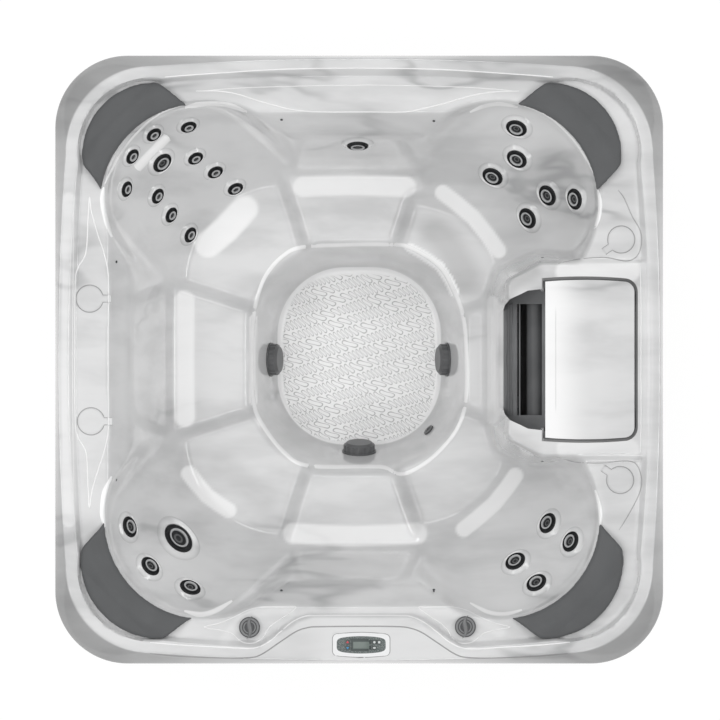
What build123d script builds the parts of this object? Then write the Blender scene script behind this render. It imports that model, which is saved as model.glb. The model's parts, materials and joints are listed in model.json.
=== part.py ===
from build123d import *
import math
import os

# Hot tub for five bathers, seen from above with its control panel at the front.
# Millimetres, +Z up, +X to the right of a person facing the back, -Y is the front.
# The origin is on the floor under the middle of the tub.

# Whole tub
overall_width = 2130.0
overall_height = 910.0
outline_corner_radius = 254.0
cut_overrun = 20.0
seat_gap = 0.3
running_gap = 0.05

# Acrylic shell, levels measured up from the floor or down from the rim
shell_wall = 8.0
lip_height = 75.0
lip_edge = 15.0
lip_wall = 10.0
deck_drop = 30.0
pad_rise = 20.0
shoulder_depth = 110.0
lobe_shoulder_depth = 60.0
bench_height = 430.0
corner_seat_height = 370.0
footwell_height = 95.0
lobe_step = 12.0
bench_lead = 25.0

# Outlines in shares of half the overall width: middle of a side, end of a side, its span, corner point
band_outer_shares = (0.9906, 0.9624, 0.6714, 0.878)
band_inner_shares = (0.958, 0.925, 0.648, 0.856)
deck_edge_shares = (0.931, 0.912, 0.642, 0.85)

# Bathing well: left, right, front and back sides at each level, then where their straight runs end
rim_side_shares = (-0.826, 0.4565, -0.814, 0.814)
rim_run_shares = (0.376, 0.432, 0.186)
shoulder_side_shares = (-0.751, 0.4535, -0.735, 0.735)
shoulder_run_shares = (0.347, 0.4, 0.18)
bench_side_shares = (-0.6225, 0.4285, -0.616, 0.613)
bench_run_shares = (0.205, 0.247, 0.16)

# Corner seats: centre of the lobe at the rim as x left, x right, y
lobe_centre_shares = (-0.504, 0.456, 0.518)
lobe_radius_share = 0.331

# Seats at the foot of the lobes, as x, y and radius: front left, back left, front right, back right
seat_shares = (
    (-0.234, -0.236, 0.349),
    (-0.234, 0.236, 0.349),
    (0.165, -0.215, 0.335),
    (0.15, 0.185, 0.33),
)

# Raised seats between the corner seats, as the corners of their outlines
raised_seat_shares = (
    ((-0.17, 0.34), (-0.334, 0.85), (0.27, 0.85), (0.11, 0.34)),
    ((-0.16, -0.32), (-0.33, -0.85), (0.29, -0.85), (0.11, -0.32)),
    ((-0.34, 0.17), (-0.85, 0.33), (-0.85, -0.33), (-0.34, -0.17)),
    ((0.31, 0.15), (0.45, 0.2), (0.45, -0.2), (0.31, -0.15)),
)

# Footwell: left, right, front and back sides and corner radius at the seats and at the floor
footwell_rim_shares = (-0.366, 0.351, -0.3765, 0.383)
footwell_rim_radius_share = 0.2535
footwell_floor_shares = (-0.273, 0.275, -0.2845, 0.311)
footwell_floor_radius_share = 0.235

# Front platform for the control panel, half outline from the middle of the tub outwards
platform_outline_shares = ((0.17, -0.843), (0.207, -0.855), (0.272, -0.899), (0.332, -0.94), (0.4, -1.0))
platform_centre_share = 0.003

# Filter bay on the right
bay_shares = ((0.4565, 0.186), (0.4894, 0.268), (0.6, 0.325))
bay_draft = 55.0
lid_front_share = 0.612
lid_back_share = 0.905
lid_half_share = 0.2565
lid_thickness = 23.0
lid_corner_radius = 36.0
lid_bow = 6.0
lid_gap = 12.0
skirt_lead = 20.0
skirt_gap = 1.5
skirt_wall = 4.0
skirt_height = 14.0
mouth_front_share = 0.475
mouth_half_share = 0.234
mouth_drop = 190.0
mouth_top_drop = 48.0

# Filter housing, weir and cartridges
housing_wall = 5.0
housing_front_share = 0.526
housing_back_share = 0.882
housing_half_share = 0.226
housing_bottom = 340.0
housing_flange = 4.0
window_shift_share = -0.12
window_share = 0.6
window_half_share = 0.183
rib_shift_share = 0.36
mouth_corner = 34.0
mouth_rib = 3.0
mouth_rib_count = 5
mouth_rib_pitch = 8.0
weir_radius = 36.0
weir_sides = 20
weir_centre_share = 0.585
weir_below_window = 62.0
weir_arm_length = 62.0
weir_arm_thickness = 6.0
weir_pin_radius = 6.0
weir_side_gap = 3.0
cartridge_radius = 84.0
cartridge_core_radius = 26.0
cartridge_height = 330.0
cartridge_cap = 14.0
cartridge_pleats = 20
pleat_depth = 12.0
cartridge_x_share = 0.78
cartridge_y_share = 0.108

# Cup holders in the deck: x, y and direction of the drain channel in degrees
cup_holder_shares = ((-0.8865, 0.2005, 0), (-0.8822, -0.203, 0), (0.8618, 0.395, 215), (0.8582, -0.396, 145))
cup_radius = 48.0
cup_depth = 5.0
cup_channel = 30.0
cup_channel_length = 92.0

# Head rests, one on each corner, as angles either side of the diagonal of their lobe
pillow_inner_radius = 345.0
pillow_outer_radius = 486.0
pillow_end_radius = 438.0
pillow_crown_radius = 415.0
pillow_thickness = 24.0
pillow_edge = 9.0
pillow_nose_drop = 50.0
pillow_nose = 24.0
pillow_inner_angle = 33.0
pillow_outer_angle = 21.5
pillow_pin_radius = 6.0
pillow_pin_angle = 13.0
pillow_pin_length = 14.0

# Jets: x and y shares of each place, by size
small_jet_shares = (
    (-0.564, 0.772),
    (-0.543, 0.669),
    (-0.478, 0.624),
    (-0.412, 0.570),
    (-0.772, 0.563),
    (-0.670, 0.542),
    (-0.626, 0.480),
    (-0.564, 0.415),
    (-0.680, 0.745),
    (-0.752, 0.672),
)
medium_jet_shares = (
    (-0.654, 0.653),
    (0.520, 0.768),
    (0.523, 0.666),
    (0.443, 0.609),
    (0.626, 0.544),
    (0.716, 0.530),
    (0.561, 0.469),
    (-0.763, -0.553),
    (-0.693, -0.685),
    (-0.559, -0.757),
    (0.627, -0.542),
    (0.702, -0.602),
    (0.518, -0.670),
    (0.587, -0.740),
    (-0.005, 0.712),
)
large_jet_shares = ((-0.599, -0.592),)
small_jet_radius = 28.0
medium_jet_radius = 37.0
large_jet_radius = 58.0
jet_sides = 12
jet_bore_share = 0.52
jet_throat_share = 0.3
jet_recess = 4.0
jet_recess_margin = 6.0
jet_pad_depth = 14.0
jet_flange = 3.0
jet_flange_step = 3.0
jet_bore_sides = 8
jet_face_rise = 7.0
jet_face_taper = 35
jet_tail = 46.0
jet_nut = 18.0
jet_nut_lap = 6.0
jet_tube_wall = 3.0
jet_sleeve = 8.0
jet_sleeve_gap = 1.5
jet_cap_recess = 4.0

# Points of light in the wall of the well
light_shares = (
    (-0.2555, 0.79),
    (0.2457, 0.786),
    (0.6036, 0.335),
    (0.603, -0.335),
    (0.2457, -0.7585),
    (-0.256, -0.7605),
    (-0.7997, -0.396),
    (-0.7997, 0.3217),
)
light_radius = 5.0
light_rise = 2.2
light_seat = 0.9
light_tail = 26.0
light_tail_radius = 3.0

# Suction covers and drain of the footwell
suction_height = 175.0
suction_radius = 55.0
suction_base_radius = 60.0
suction_base = 5.0
suction_depth = 30.0
suction_bevel = 8.0
suction_flutes = 20
suction_flute = 3.0
suction_tail_radius = 30.0
suction_tail = 62.0
suction_tail_wall = 4.0
drain_shares = (0.232, -0.235)
drain_radius = 20.0
drain_rise = 5.0
drain_slot = 5.0
drain_seat = 1.5
drain_tail = 40.0
drain_tail_radius = 12.0

# Diverter knobs on the front deck
knob_left_shares = (-0.3608, -0.8806)
knob_right_shares = (0.349, -0.8786)
knob_radius = 30.0
knob_height = 7.0
knob_grip_height = 11.0
knob_grip_width = 9.0
knob_ring = 6.0
knob_ring_height = 4.0
knob_stem_radius = 9.0
knob_stem = 46.0
knob_neck_radius = 24.0
valve_radius = 34.0
valve_height = 120.0
valve_port_radius = 18.0
valve_port_length = 46.0

# Control panel on the front platform
panel_x_share = 0.0066
panel_y_share = -0.938
panel_length = 198.0
panel_width = 84.0
panel_bow = 5.0
panel_corner = 16.0
panel_thickness = 7.0
panel_sink = 7.5
panel_box_inset = 22.0
panel_box_depth = 28.0
face_inset = 12.0
face_sink = 1.0
display_length = 64.0
display_width = 44.0
display_offset = 12.0
display_thickness = 2.0
display_sink = 3.0
key_length = 14.0
key_width = 14.0
key_rise = 0.8
key_thickness = 4.0
key_travel = 1.0
key_side_gap = 0.35
key_column = 17.0
key_row = 19.5
panel_tail_gap = 1.0

# Cabinet, frame and base
cabinet_inset = 35.0
panel_board = 12.0
board_groove = 4.0
board_groove_width = 6.0
board_rows = 6
cabinet_corner_radius = 230.0
cabinet_gap = 2.0
cabinet_top_lap = 8.0
base_floor = 12.0
base_rim = 40.0
base_rim_wall = 22.0
tube = 40.0
frame_corner_radius = 280.0
post_share = 0.58
bearer_share = 0.14
screw_radius = 6.0
screw_head = 3.0
screw_inset = 40.0
conduit_radius = 14.0
conduit_x_share = 0.55
conduit_height = 110.0

# Pump, heater, controls and pipes in the space below the front seats
pump_y_share = -0.714
pump_x = -60.0
pump_height = 120.0
motor_radius = 80.0
motor_length = 320.0
casing_wall = 6.0
volute_radius = 95.0
volute_length = 110.0
port_radius = 30.0
port_length = 20.0
port_wall = 4.0
pump_foot_width = 120.0
impeller_radius = 62.0
impeller_thickness = 22.0
impeller_vanes = 6
vane_thickness = 5.0
vane_height = 16.0
shaft_radius = 9.0
rotor_radius = 55.0
rotor_length = 180.0
heater_radius = 38.0
heater_length = 330.0
heater_height = 300.0
heater_x = 330.0
heater_clamp = 8.0
heater_clamp_length = 24.0
control_length = 330.0
control_width = 150.0
control_height = 190.0
control_lid = 14.0
control_lid_overhang = 6.0
control_x_share = 0.42
control_y_share = -0.84
pipe_radius = 27.0
pipe_bend = 60.0
pipe_sides = 12
pipe_approach = 150.0
manifold_radius = 36.0
manifold_length = 240.0
manifold_gap = 40.0
manifold_stubs = 5
stub_radius = 10.0
stub_length = 56.0

# Sizes that follow from the ones above
half = overall_width / 2
deck_height = overall_height - deck_drop
pad_height = deck_height + pad_rise
lip_bottom = overall_height - lip_height
shoulder_height = deck_height - shoulder_depth
deck_under = deck_height - shell_wall
ledge_height = pad_height - lid_thickness
mouth_low = deck_height - mouth_drop + shell_wall
mouth_high = deck_height - mouth_top_drop + pad_rise
cabinet_half = half - cabinet_inset


def at(shares):
    """A point of the plan from its shares of half the width."""
    return shares[0] * half, shares[1] * half


def ray_hits(form, start, direction):
    """Where a straight line meets a form, with the normals there."""
    hits = []
    for face in form.faces():
        hits += face.find_intersection_points(Axis(start, direction))
    return hits


def seat_plane(form, x, y):
    """Plane on the open side of the well's surface below a point of the plan, facing the water."""
    hits = ray_hits(form, (x, y, 0), (0, 0, 1))
    low = [hit for hit in hits if hit[0].Z < overall_height]
    point, normal = min(low, key=lambda hit: hit[0].Z)
    facing = normal if normal.Z > 0 else normal * -1
    return Plane(point, z_dir=facing)


def bowed_wire(shares, height, inset=0):
    """Four bowed sides joined by round corners."""
    mid, end, span, corner = [share * half for share in shares]
    mid, end, corner = mid - inset, end - inset, corner - inset
    edges = []
    for quarter in range(4):
        turn = Pos(0, 0, height) * Rot(0, 0, -90 * quarter)
        if mid == end:
            side = Line((-span, end), (span, end))
        else:
            side = ThreePointArc((-span, end), (0, mid), (span, end))
        bend = ThreePointArc((span, end), (corner, corner), (end, span))
        edges += [turn * side.edge(), turn * bend.edge()]
    return Wire(edges)


def outline_shares(radius):
    """The outer outline in the form that bowed_wire takes."""
    straight = half - radius
    corner = straight + radius * math.sqrt(0.5)
    return 1.0, 1.0, straight / half, corner / half


def ruled(wires):
    return Solid.make_loft(wires, ruled=True)


def prism(points, low, high):
    """Upright prism over a polygon of the plan."""
    return Pos(0, 0, low) * extrude(make_face(Polyline(*points, close=True)), high - low)


def block(low, high):
    """Box between two corners."""
    size = [high[i] - low[i] for i in range(3)]
    return Pos(*low) * Box(*size, align=(Align.MIN, Align.MIN, Align.MIN))


def side_points(sides, runs, grow):
    """Eight-sided outline of the well at one level."""
    left, right, front, back = [share * half for share in sides]
    run_x, run_left, run_right = [share * half for share in runs]
    return [
        (-run_x, back + grow),
        (run_x, back + grow),
        (right + grow, run_right),
        (right + grow, -run_right),
        (run_x, front - grow),
        (-run_x, front - grow),
        (left - grow, -run_left),
        (left - grow, run_left),
    ]


def level_wire(points, height):
    return Pos(0, 0, height) * Polyline(*points, close=True).wire()


def bench_well(grow, top):
    """Middle of the well, from the rim down to the four bench seats."""
    rim = side_points(rim_side_shares, rim_run_shares, grow)
    shoulder = side_points(shoulder_side_shares, shoulder_run_shares, grow)
    bench = side_points(bench_side_shares, bench_run_shares, grow)
    wires = [
        level_wire(rim, top),
        level_wire(shoulder, shoulder_height),
        level_wire(bench, bench_height - grow),
    ]
    if top > deck_height:
        wires.insert(1, level_wire(rim, deck_height))
    return ruled(wires)


def lobe_centre(right, back):
    y = lobe_centre_shares[2] * half
    return lobe_centre_shares[right] * half, y if back else -y


def lobe_well(right, back, grow, top):
    """One corner seat with its reclined back, a leaning cone that starts round the head rest."""
    lobe = lobe_centre(right, back)
    x, y, radius = [share * half for share in seat_shares[2 * right + back]]
    lobe_radius = lobe_radius_share * half + grow
    wires = [
        Pos(*lobe, top) * Wire.make_circle(lobe_radius),
        Pos(*lobe, deck_height - lobe_shoulder_depth) * Wire.make_circle(lobe_radius - lobe_step),
        Pos(x, y, corner_seat_height - grow) * Wire.make_circle(radius + grow),
    ]
    if top > deck_height:
        wires.insert(1, Pos(*lobe, deck_height) * Wire.make_circle(lobe_radius))
    return ruled(wires)


def bay_points(grow):
    """Plan of the filter bay, which pushes into the well from the right."""
    nose, knee, shoulder = [at(shares) for shares in bay_shares]
    upper = [
        (nose[0] - grow, nose[1]),
        (knee[0] - grow, knee[1] + grow),
        (shoulder[0] - grow, shoulder[1] + grow),
        (half, shoulder[1] + grow),
    ]
    return upper + [(x, -y) for x, y in reversed(upper)]


def bay_block(grow):
    """Filter bay as a solid whose sides lean out towards the floor."""
    return ruled([
        level_wire(bay_points(bay_draft - grow), 0),
        level_wire(bay_points(-grow), pad_height),
        level_wire(bay_points(-grow), overall_height + 2 * cut_overrun),
    ])


def raised_seats(grow):
    """Raised seats as solids below the level of the bench, thinned by the wall's thickness."""
    seats = []
    for shares in raised_seat_shares:
        face = make_face(Polyline(*[at(share) for share in shares], close=True))
        if grow > 0:
            face = offset(face, -grow, kind=Kind.INTERSECTION)
        seats.append(extrude(face, bench_height - grow))
    return seats


def footwell(grow):
    """Sunken middle for the feet."""
    wires = []
    levels = (
        (footwell_rim_shares, footwell_rim_radius_share, bench_height + bench_lead),
        (footwell_floor_shares, footwell_floor_radius_share, footwell_height - grow),
    )
    for shares, radius_share, height in levels:
        left, right, front, back = [share * half for share in shares]
        radius = radius_share * half
        outline = RectangleRounded(right - left + 2 * grow, back - front + 2 * grow, radius + grow)
        centre = ((left + right) / 2, (front + back) / 2, height)
        wires.append(Pos(*centre) * outline.wire())
    return ruled(wires)


def well_form(grow, top):
    """Everything below the deck that holds water, grown sideways and downwards by a wall."""
    lobes = [lobe_well(right, back, grow, top) for right in (False, True) for back in (False, True)]
    kept = [bay_block(grow)] + raised_seats(grow)
    form = bench_well(grow, top) + [lobe - kept for lobe in lobes]
    return form + footwell(grow)


def rim_slab():
    """Rolled lip, raised band and deck, before the well is opened."""
    outline = outline_shares(outline_corner_radius)
    slab = ruled([
        bowed_wire(outline, lip_bottom),
        bowed_wire(outline, lip_bottom + lip_edge),
        bowed_wire(band_outer_shares, overall_height),
    ])
    climb = (deck_under - lip_bottom - lip_edge) / (overall_height - lip_bottom - lip_edge)
    under = [low + (high - low) * climb for low, high in zip(outline, band_outer_shares)]
    hollow = ruled([
        bowed_wire(outline, lip_bottom - cut_overrun, lip_wall),
        bowed_wire(outline, lip_bottom, lip_wall),
        bowed_wire(under, deck_under, lip_wall),
    ])
    sunk = ruled([
        bowed_wire(band_inner_shares, overall_height + cut_overrun),
        bowed_wire(band_inner_shares, overall_height),
        bowed_wire(deck_edge_shares, deck_height),
    ])
    return slab - hollow - (sunk - platform())


def platform():
    """Flat field at full height that carries the control panel."""
    middle = platform_centre_share * half
    run = [at(share) for share in platform_outline_shares]
    right = [(middle + x, y) for x, y in run]
    left = [(middle - x, y) for x, y in reversed(run)]
    return prism(right + left, lip_bottom, overall_height + 2 * cut_overrun)


def cup_holder(shares):
    """Shallow round recess with a channel that drains into the well."""
    x, y = at(shares)
    low = deck_height - cup_depth
    cup = Pos(x, y, low) * extrude(Circle(cup_radius), cup_depth + cut_overrun)
    reach = Pos(cup_channel_length / 2, 0) * Rectangle(cup_channel_length, cup_channel)
    channel = Pos(x, y, low) * Rot(0, 0, shares[2]) * extrude(reach, cup_depth + cut_overrun)
    return cup + channel


def lid_outline(grow):
    """Plan of the filter lid: straight front, bowed ends, round back corners."""
    front, back = lid_front_share * half - grow, lid_back_share * half + grow
    side = lid_half_share * half + grow
    radius = lid_corner_radius + grow
    middle = (front + back) / 2
    outline = Curve() + [
        Line((front, side), (front, -side)),
        ThreePointArc((front, -side), (middle, -side - lid_bow), (back - radius, -side)),
        TangentArc((back - radius, -side), (back, -side + radius), tangent=(1, 0)),
        Line((back, -side + radius), (back, side - radius)),
        TangentArc((back, side - radius), (back - radius, side), tangent=(0, 1)),
        ThreePointArc((back - radius, side), (middle, side + lid_bow), (front, side)),
    ]
    return make_face(outline)


def mouth_wedge(drop, reach):
    """Wedge over the slanted mouth of the filter bay."""
    front, high = mouth_front_share * half, lid_front_share * half
    side = [
        (front, mouth_low - drop),
        (high, mouth_high - drop),
        (high, overall_height + cut_overrun),
        (front, overall_height + cut_overrun),
    ]
    face = Plane.XZ * make_face(Polyline(*side, close=True))
    return extrude(face, reach, both=True)


def mouth_slope():
    """Rise of the mouth for its run along X."""
    return (mouth_high - mouth_low) / (lid_front_share - mouth_front_share) / half


def mouth_lip(depth):
    """Slanted lip of the shell in front of the mouth, or the space over it when it has no depth."""
    front = mouth_front_share * half
    start = bay_shares[0][0] * half - bay_draft
    lowest = mouth_low - (front - start) * mouth_slope()
    side = [(start, lowest), (front, mouth_low)]
    if depth > 0:
        side += [(front, mouth_low - depth), (start, lowest - depth)]
    else:
        side += [(front, overall_height + cut_overrun), (start, overall_height + cut_overrun)]
    face = Plane.XZ * make_face(Polyline(*side, close=True))
    reach = mouth_half_share * half + (shell_wall if depth > 0 else 0)
    return extrude(face, reach, both=True)


def bay_cut():
    """Recess for the lid, hole for the filter housing and the slanted mouth."""
    recess = Pos(0, 0, ledge_height) * extrude(lid_outline(lid_gap), overall_height - ledge_height)
    sunk = (housing_wall + seat_gap) * slope_length() / (lid_front_share - mouth_front_share) / half
    front, back = housing_front_share * half, housing_back_share * half
    reach = housing_half_share * half
    low = (front - seat_gap, -reach - seat_gap, deck_under - cut_overrun)
    high = (back + seat_gap, reach + seat_gap, overall_height)
    return recess + block(low, high) + mouth_wedge(sunk, mouth_half_share * half)


def jet_sets():
    """Every jet as its name, radius and place."""
    groups = (
        ("small_jet", small_jet_radius, small_jet_shares),
        ("medium_jet", medium_jet_radius, medium_jet_shares),
        ("large_jet", large_jet_radius, large_jet_shares),
    )
    found = []
    for name, radius, places in groups:
        for number, shares in enumerate(places, 1):
            found.append((f"{name}_{number:02d}", radius, shares))
    return found


def jet_seats(form):
    """Plane of each jet's flat seat, sunk a little below the wall's surface."""
    seats = {}
    for name, radius, shares in jet_sets():
        plane = seat_plane(form, *at(shares))
        rise = radius * radius / lobe_radius_share / half / 2
        seats[name] = (plane.offset(-jet_recess if radius > medium_jet_radius else rise), radius)
    return seats


def suction_planes(form):
    """Planes of the three suction covers on the left, right and front walls of the footwell."""
    planes = {}
    for name, direction in (("left", (-1, 0, 0)), ("right", (1, 0, 0)), ("front", (0, -1, 0))):
        hits = ray_hits(form, (0, 0, suction_height), direction)
        ahead = [hit for hit in hits if hit[0].dot(Vector(direction)) > 0]
        point, normal = min(ahead, key=lambda hit: hit[0].dot(Vector(direction)))
        facing = normal if normal.dot(Vector(direction)) < 0 else normal * -1
        planes[name] = Plane(point, z_dir=facing)
    return planes


def hole(plane, radius, depth, rise=0):
    return plane.offset(-depth) * extrude(Circle(radius), depth + rise)


def faceted(plane, radius, low, high, sides=8, taper=0):
    """Many-sided post that stands in for a round one on what repeats most."""
    return plane.offset(low) * extrude(RegularPolygon(radius, sides), high - low, taper=taper)


def panel_place(height):
    return Pos(panel_x_share * half, panel_y_share * half, height)


def panel_outline(grow):
    """Bowed oblong of the control panel."""
    length, width = panel_length / 2 + grow, panel_width / 2 - panel_bow + grow
    bow = width + panel_bow
    outline = Curve() + [
        ThreePointArc((-length, width), (0, bow), (length, width)),
        Line((length, width), (length, -width)),
        ThreePointArc((length, -width), (0, -bow), (-length, -width)),
        Line((-length, -width), (-length, width)),
    ]
    face = make_face(outline)
    return fillet(face.vertices(), panel_corner)


def knob_places():
    return {"left": at(knob_left_shares), "right": at(knob_right_shares)}


def make_shell(well, seats, suctions):
    """Vacuum-formed acrylic shell in one piece."""
    shell = rim_slab() + well_form(shell_wall, deck_height)
    shell += prism(bay_points(0), deck_under, pad_height) & inside_of_rim()
    shell = shell - mouth_lip(0) + mouth_lip(shell_wall * math.hypot(1, mouth_slope()))
    pads = []
    cuts = [well, bay_cut()]
    for plane, radius in seats.values():
        if radius > medium_jet_radius:
            recess = radius + jet_recess_margin
            pads.append(hole(plane, recess, jet_pad_depth))
            cuts.append(hole(plane, recess, 0, 3 * jet_recess_margin))
        cuts.append(faceted(plane, tube_radius(radius) + seat_gap, -jet_tail, jet_recess_margin))
    shell += pads
    cuts += [cup_holder(shares) for shares in cup_holder_shares]
    for plane in suctions.values():
        cuts.append(faceted(plane, suction_tail_radius + seat_gap, -suction_tail, cut_overrun, pipe_sides))
    drain = seat_plane(well, *at(drain_shares))
    cuts.append(hole(drain, drain_tail_radius + seat_gap, drain_tail, cut_overrun))
    for x, y in knob_places().values():
        neck = extrude(Circle(knob_neck_radius + seat_gap), deck_drop + cut_overrun)
        cuts.append(Pos(x, y, deck_under - cut_overrun) * neck)
    for plane in light_planes(well):
        cuts.append(faceted(plane, light_tail_radius + seat_gap, -light_tail, cut_overrun))
    for right in (False, True):
        for back in (False, True):
            cuts += pillow_pins(right, back, seat_gap)
    cuts.append(panel_place(overall_height - panel_sink) * extrude(panel_outline(seat_gap), cut_overrun))
    cuts.append(panel_place(lip_bottom) * extrude(panel_box_outline(panel_tail_gap), overall_height - lip_bottom))
    return shell - cuts


def inside_of_rim():
    """Everything inside the raised band's outer edge."""
    return ruled([
        bowed_wire(band_outer_shares, 0, lip_wall),
        bowed_wire(band_outer_shares, overall_height, lip_wall),
    ])


def tube_radius(radius):
    """Outside of a jet's tube, from the radius of its face."""
    return radius * jet_bore_share + jet_tube_wall


def jet_body(plane, radius):
    """Fixed part of a jet: flange on the wall, tube through it and nut behind."""
    tube_out = tube_radius(radius)
    back = jet_pad_depth + seat_gap
    body = faceted(plane, radius - jet_flange_step, seat_gap, jet_flange)
    body += faceted(plane, tube_out, -back, seat_gap)
    body += faceted(plane, tube_out + jet_nut_lap, -back - jet_nut, -back)
    return body - faceted(plane, radius * jet_bore_share, -jet_sleeve - jet_tube_wall, jet_flange)


def jet_face(plane, radius):
    """Turning part of a jet: bevelled face ring, throat and sleeve."""
    low = jet_flange + seat_gap
    high = low + jet_face_rise
    sleeve = radius * jet_bore_share * math.cos(math.pi / jet_bore_sides) - jet_sleeve_gap
    face = faceted(plane, radius, low, high, jet_sides, jet_face_taper)
    face += faceted(plane, sleeve, -jet_sleeve, low)
    return face - faceted(plane, radius * jet_throat_share, high - jet_cap_recess, high)


def light_planes(well):
    return [seat_plane(well, *at(shares)) for shares in light_shares]


def light_lens(plane):
    """Domed lens on the wall with its stem through it."""
    stem = faceted(plane, light_tail_radius, -light_tail, light_rise)
    return stem + faceted(plane, light_radius, light_seat, light_rise)


def suction_cover(plane):
    """Fluted guard over a suction fitting, with its seat and the tube through the wall."""
    seat = plane.offset(seat_gap)
    cover = hole(seat.offset(suction_base), suction_base_radius, suction_base)
    turn = 360 / suction_flutes / 2
    points = []
    for number in range(2 * suction_flutes):
        radius = suction_radius - suction_flute * (number % 2)
        angle = math.radians(number * turn)
        points.append((radius * math.cos(angle), radius * math.sin(angle)))
    fluted = make_face(Polyline(*points, close=True))
    cover += seat.offset(suction_base) * extrude(fluted, suction_depth - suction_bevel)
    cap = seat.offset(suction_base + suction_depth - suction_bevel)
    cover += cap * loft([Circle(suction_radius - suction_flute), Pos(0, 0, suction_bevel) *
                         Circle(suction_radius - suction_flute - suction_bevel)])
    cover += faceted(seat, suction_tail_radius, -suction_tail, 0, pipe_sides)
    bore = suction_tail_radius - suction_tail_wall
    return cover - faceted(seat, bore, -suction_tail, -suction_base, pipe_sides)


def floor_drain(well):
    """Slotted outlet low in the footwell with its tail below the shell."""
    plane = seat_plane(well, *at(drain_shares))
    seat = plane.offset(drain_seat)
    drain = hole(seat, drain_tail_radius, drain_tail, drain_rise)
    drain += hole(seat.offset(drain_rise), drain_radius, drain_rise)
    slot = seat.offset(drain_rise / 2) * extrude(Rectangle(drain_radius, drain_slot), drain_rise)
    gap = seat.offset(drain_rise / 2) * Rot(0, 0, 90)
    return drain - slot - gap * extrude(Rectangle(drain_radius, drain_slot), drain_rise)


def filter_lid():
    """Removable lid over the filters, with a skirt that drops into the housing."""
    low = ledge_height + housing_flange + 2 * seat_gap
    front = lid_front_share * half + skirt_lead
    back = housing_back_share * half - housing_wall - skirt_gap
    reach = housing_half_share * half - housing_wall - skirt_gap
    skirt = block((front, -reach, low - skirt_height), (back, reach, low))
    hollow = block(
        (front + skirt_wall, -reach + skirt_wall, low - skirt_height - cut_overrun),
        (back - skirt_wall, reach - skirt_wall, low),
    )
    return Pos(0, 0, low) * extrude(lid_outline(0), lid_thickness) + (skirt - hollow)


def slanted_plane():
    """Plane of the slanted mouth, at its middle, with x down the slope towards the well."""
    front, high = mouth_front_share * half, lid_front_share * half
    rise = mouth_high - mouth_low
    middle = ((front + high) / 2, 0, (mouth_low + mouth_high) / 2)
    along = Vector(front - high, 0, -rise).normalized()
    return Plane(middle, x_dir=along, z_dir=Vector(-rise, 0, high - front).normalized())


def slope_length():
    return math.hypot(lid_front_share * half - mouth_front_share * half, mouth_high - mouth_low)


def filter_housing():
    """Plastic box under the lid, open on top, with a slanted mouth plate towards the well."""
    front, back = housing_front_share * half, housing_back_share * half
    reach = housing_half_share * half
    top = ledge_height + seat_gap
    box = block((front, -reach, housing_bottom), (back, reach, top))
    rim = Pos(0, 0, top) * extrude(lid_outline(lid_gap - 2 * housing_flange), housing_flange)
    inner = block(
        (front + housing_wall, -reach + housing_wall, housing_bottom + housing_wall),
        (back - housing_wall, reach - housing_wall, top + housing_flange + cut_overrun),
    )
    plane = slanted_plane()
    length = slope_length()
    width = 2 * (mouth_half_share * half - seat_gap)
    outline = Rectangle(length - 2 * seat_gap, width)
    outline = chamfer(outline.vertices().sort_by(Axis.X)[-2:], mouth_corner)
    plate = plane.offset(-housing_wall) * extrude(outline, housing_wall)
    window = plane * Pos(window_shift_share * length, 0, -housing_wall) * extrude(
        Rectangle(window_share * length, 2 * window_half_share * half), 3 * housing_wall, both=True)
    housing = (box + rim - inner - mouth_wedge(0, mouth_half_share * half)) + (plate - window)
    first = -(mouth_rib_count - 1) / 2 * mouth_rib_pitch
    for number in range(mouth_rib_count):
        down = rib_shift_share * length + first + number * mouth_rib_pitch
        rib = Rectangle(mouth_rib, 2 * window_half_share * half)
        housing += plane * Pos(down, 0, 0) * extrude(rib, mouth_rib)
    return housing


def weir_axis():
    """Pivot of the floating weir behind the mouth."""
    x = weir_centre_share * half
    z = mouth_low + (x - mouth_front_share * half) - weir_below_window
    return x + weir_arm_length, z


def weir():
    """Roller-shaped float on two arms that swing about pins in the housing's sides."""
    pivot_x, z = weir_axis()
    x = pivot_x - weir_arm_length
    reach = housing_half_share * half - housing_wall - weir_side_gap
    length = reach - weir_arm_thickness
    form = faceted(Plane((x, 0, z), z_dir=(0, 1, 0)), weir_radius, -length, length, weir_sides)
    for side in (-1, 1):
        middle = side * (reach - weir_arm_thickness / 2)
        eye = Pos(pivot_x, middle, z) * Rot(90, 0, 0) * Cylinder(2 * weir_pin_radius, weir_arm_thickness)
        arm = Pos((x + pivot_x) / 2, middle, z) * Box(weir_arm_length, weir_arm_thickness, 3 * weir_pin_radius)
        pin_length = weir_side_gap + weir_arm_thickness - seat_gap
        pin_y = side * (reach - weir_arm_thickness + pin_length / 2)
        pin = Pos(pivot_x, pin_y, z) * Rot(90, 0, 0) * Cylinder(weir_pin_radius, pin_length)
        form += [eye, arm, pin]
    return form


def filter_cartridge(x, y):
    """Pleated cartridge between two end caps."""
    low = housing_bottom + housing_wall
    points = []
    for number in range(2 * cartridge_pleats):
        radius = cartridge_radius - pleat_depth * (number % 2)
        angle = math.pi * number / cartridge_pleats
        points.append((radius * math.cos(angle), radius * math.sin(angle)))
    pleats = extrude(make_face(Polyline(*points, close=True)), cartridge_height - 2 * cartridge_cap)
    form = Pos(x, y, low + cartridge_cap) * pleats
    for height in (low, low + cartridge_height - cartridge_cap):
        form += Pos(x, y, height) * extrude(Circle(cartridge_radius), cartridge_cap)
    return form - Pos(x, y, low + cartridge_cap) * extrude(Circle(cartridge_core_radius), cartridge_height)


def pillow_place(right, back):
    """Axis of a head rest's lobe, with X out along its diagonal."""
    diagonal = math.degrees(math.atan2(1 if back else -1, 1 if right else -1))
    return Pos(*lobe_centre(right, back), 0) * Rot(0, 0, diagonal)


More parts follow.
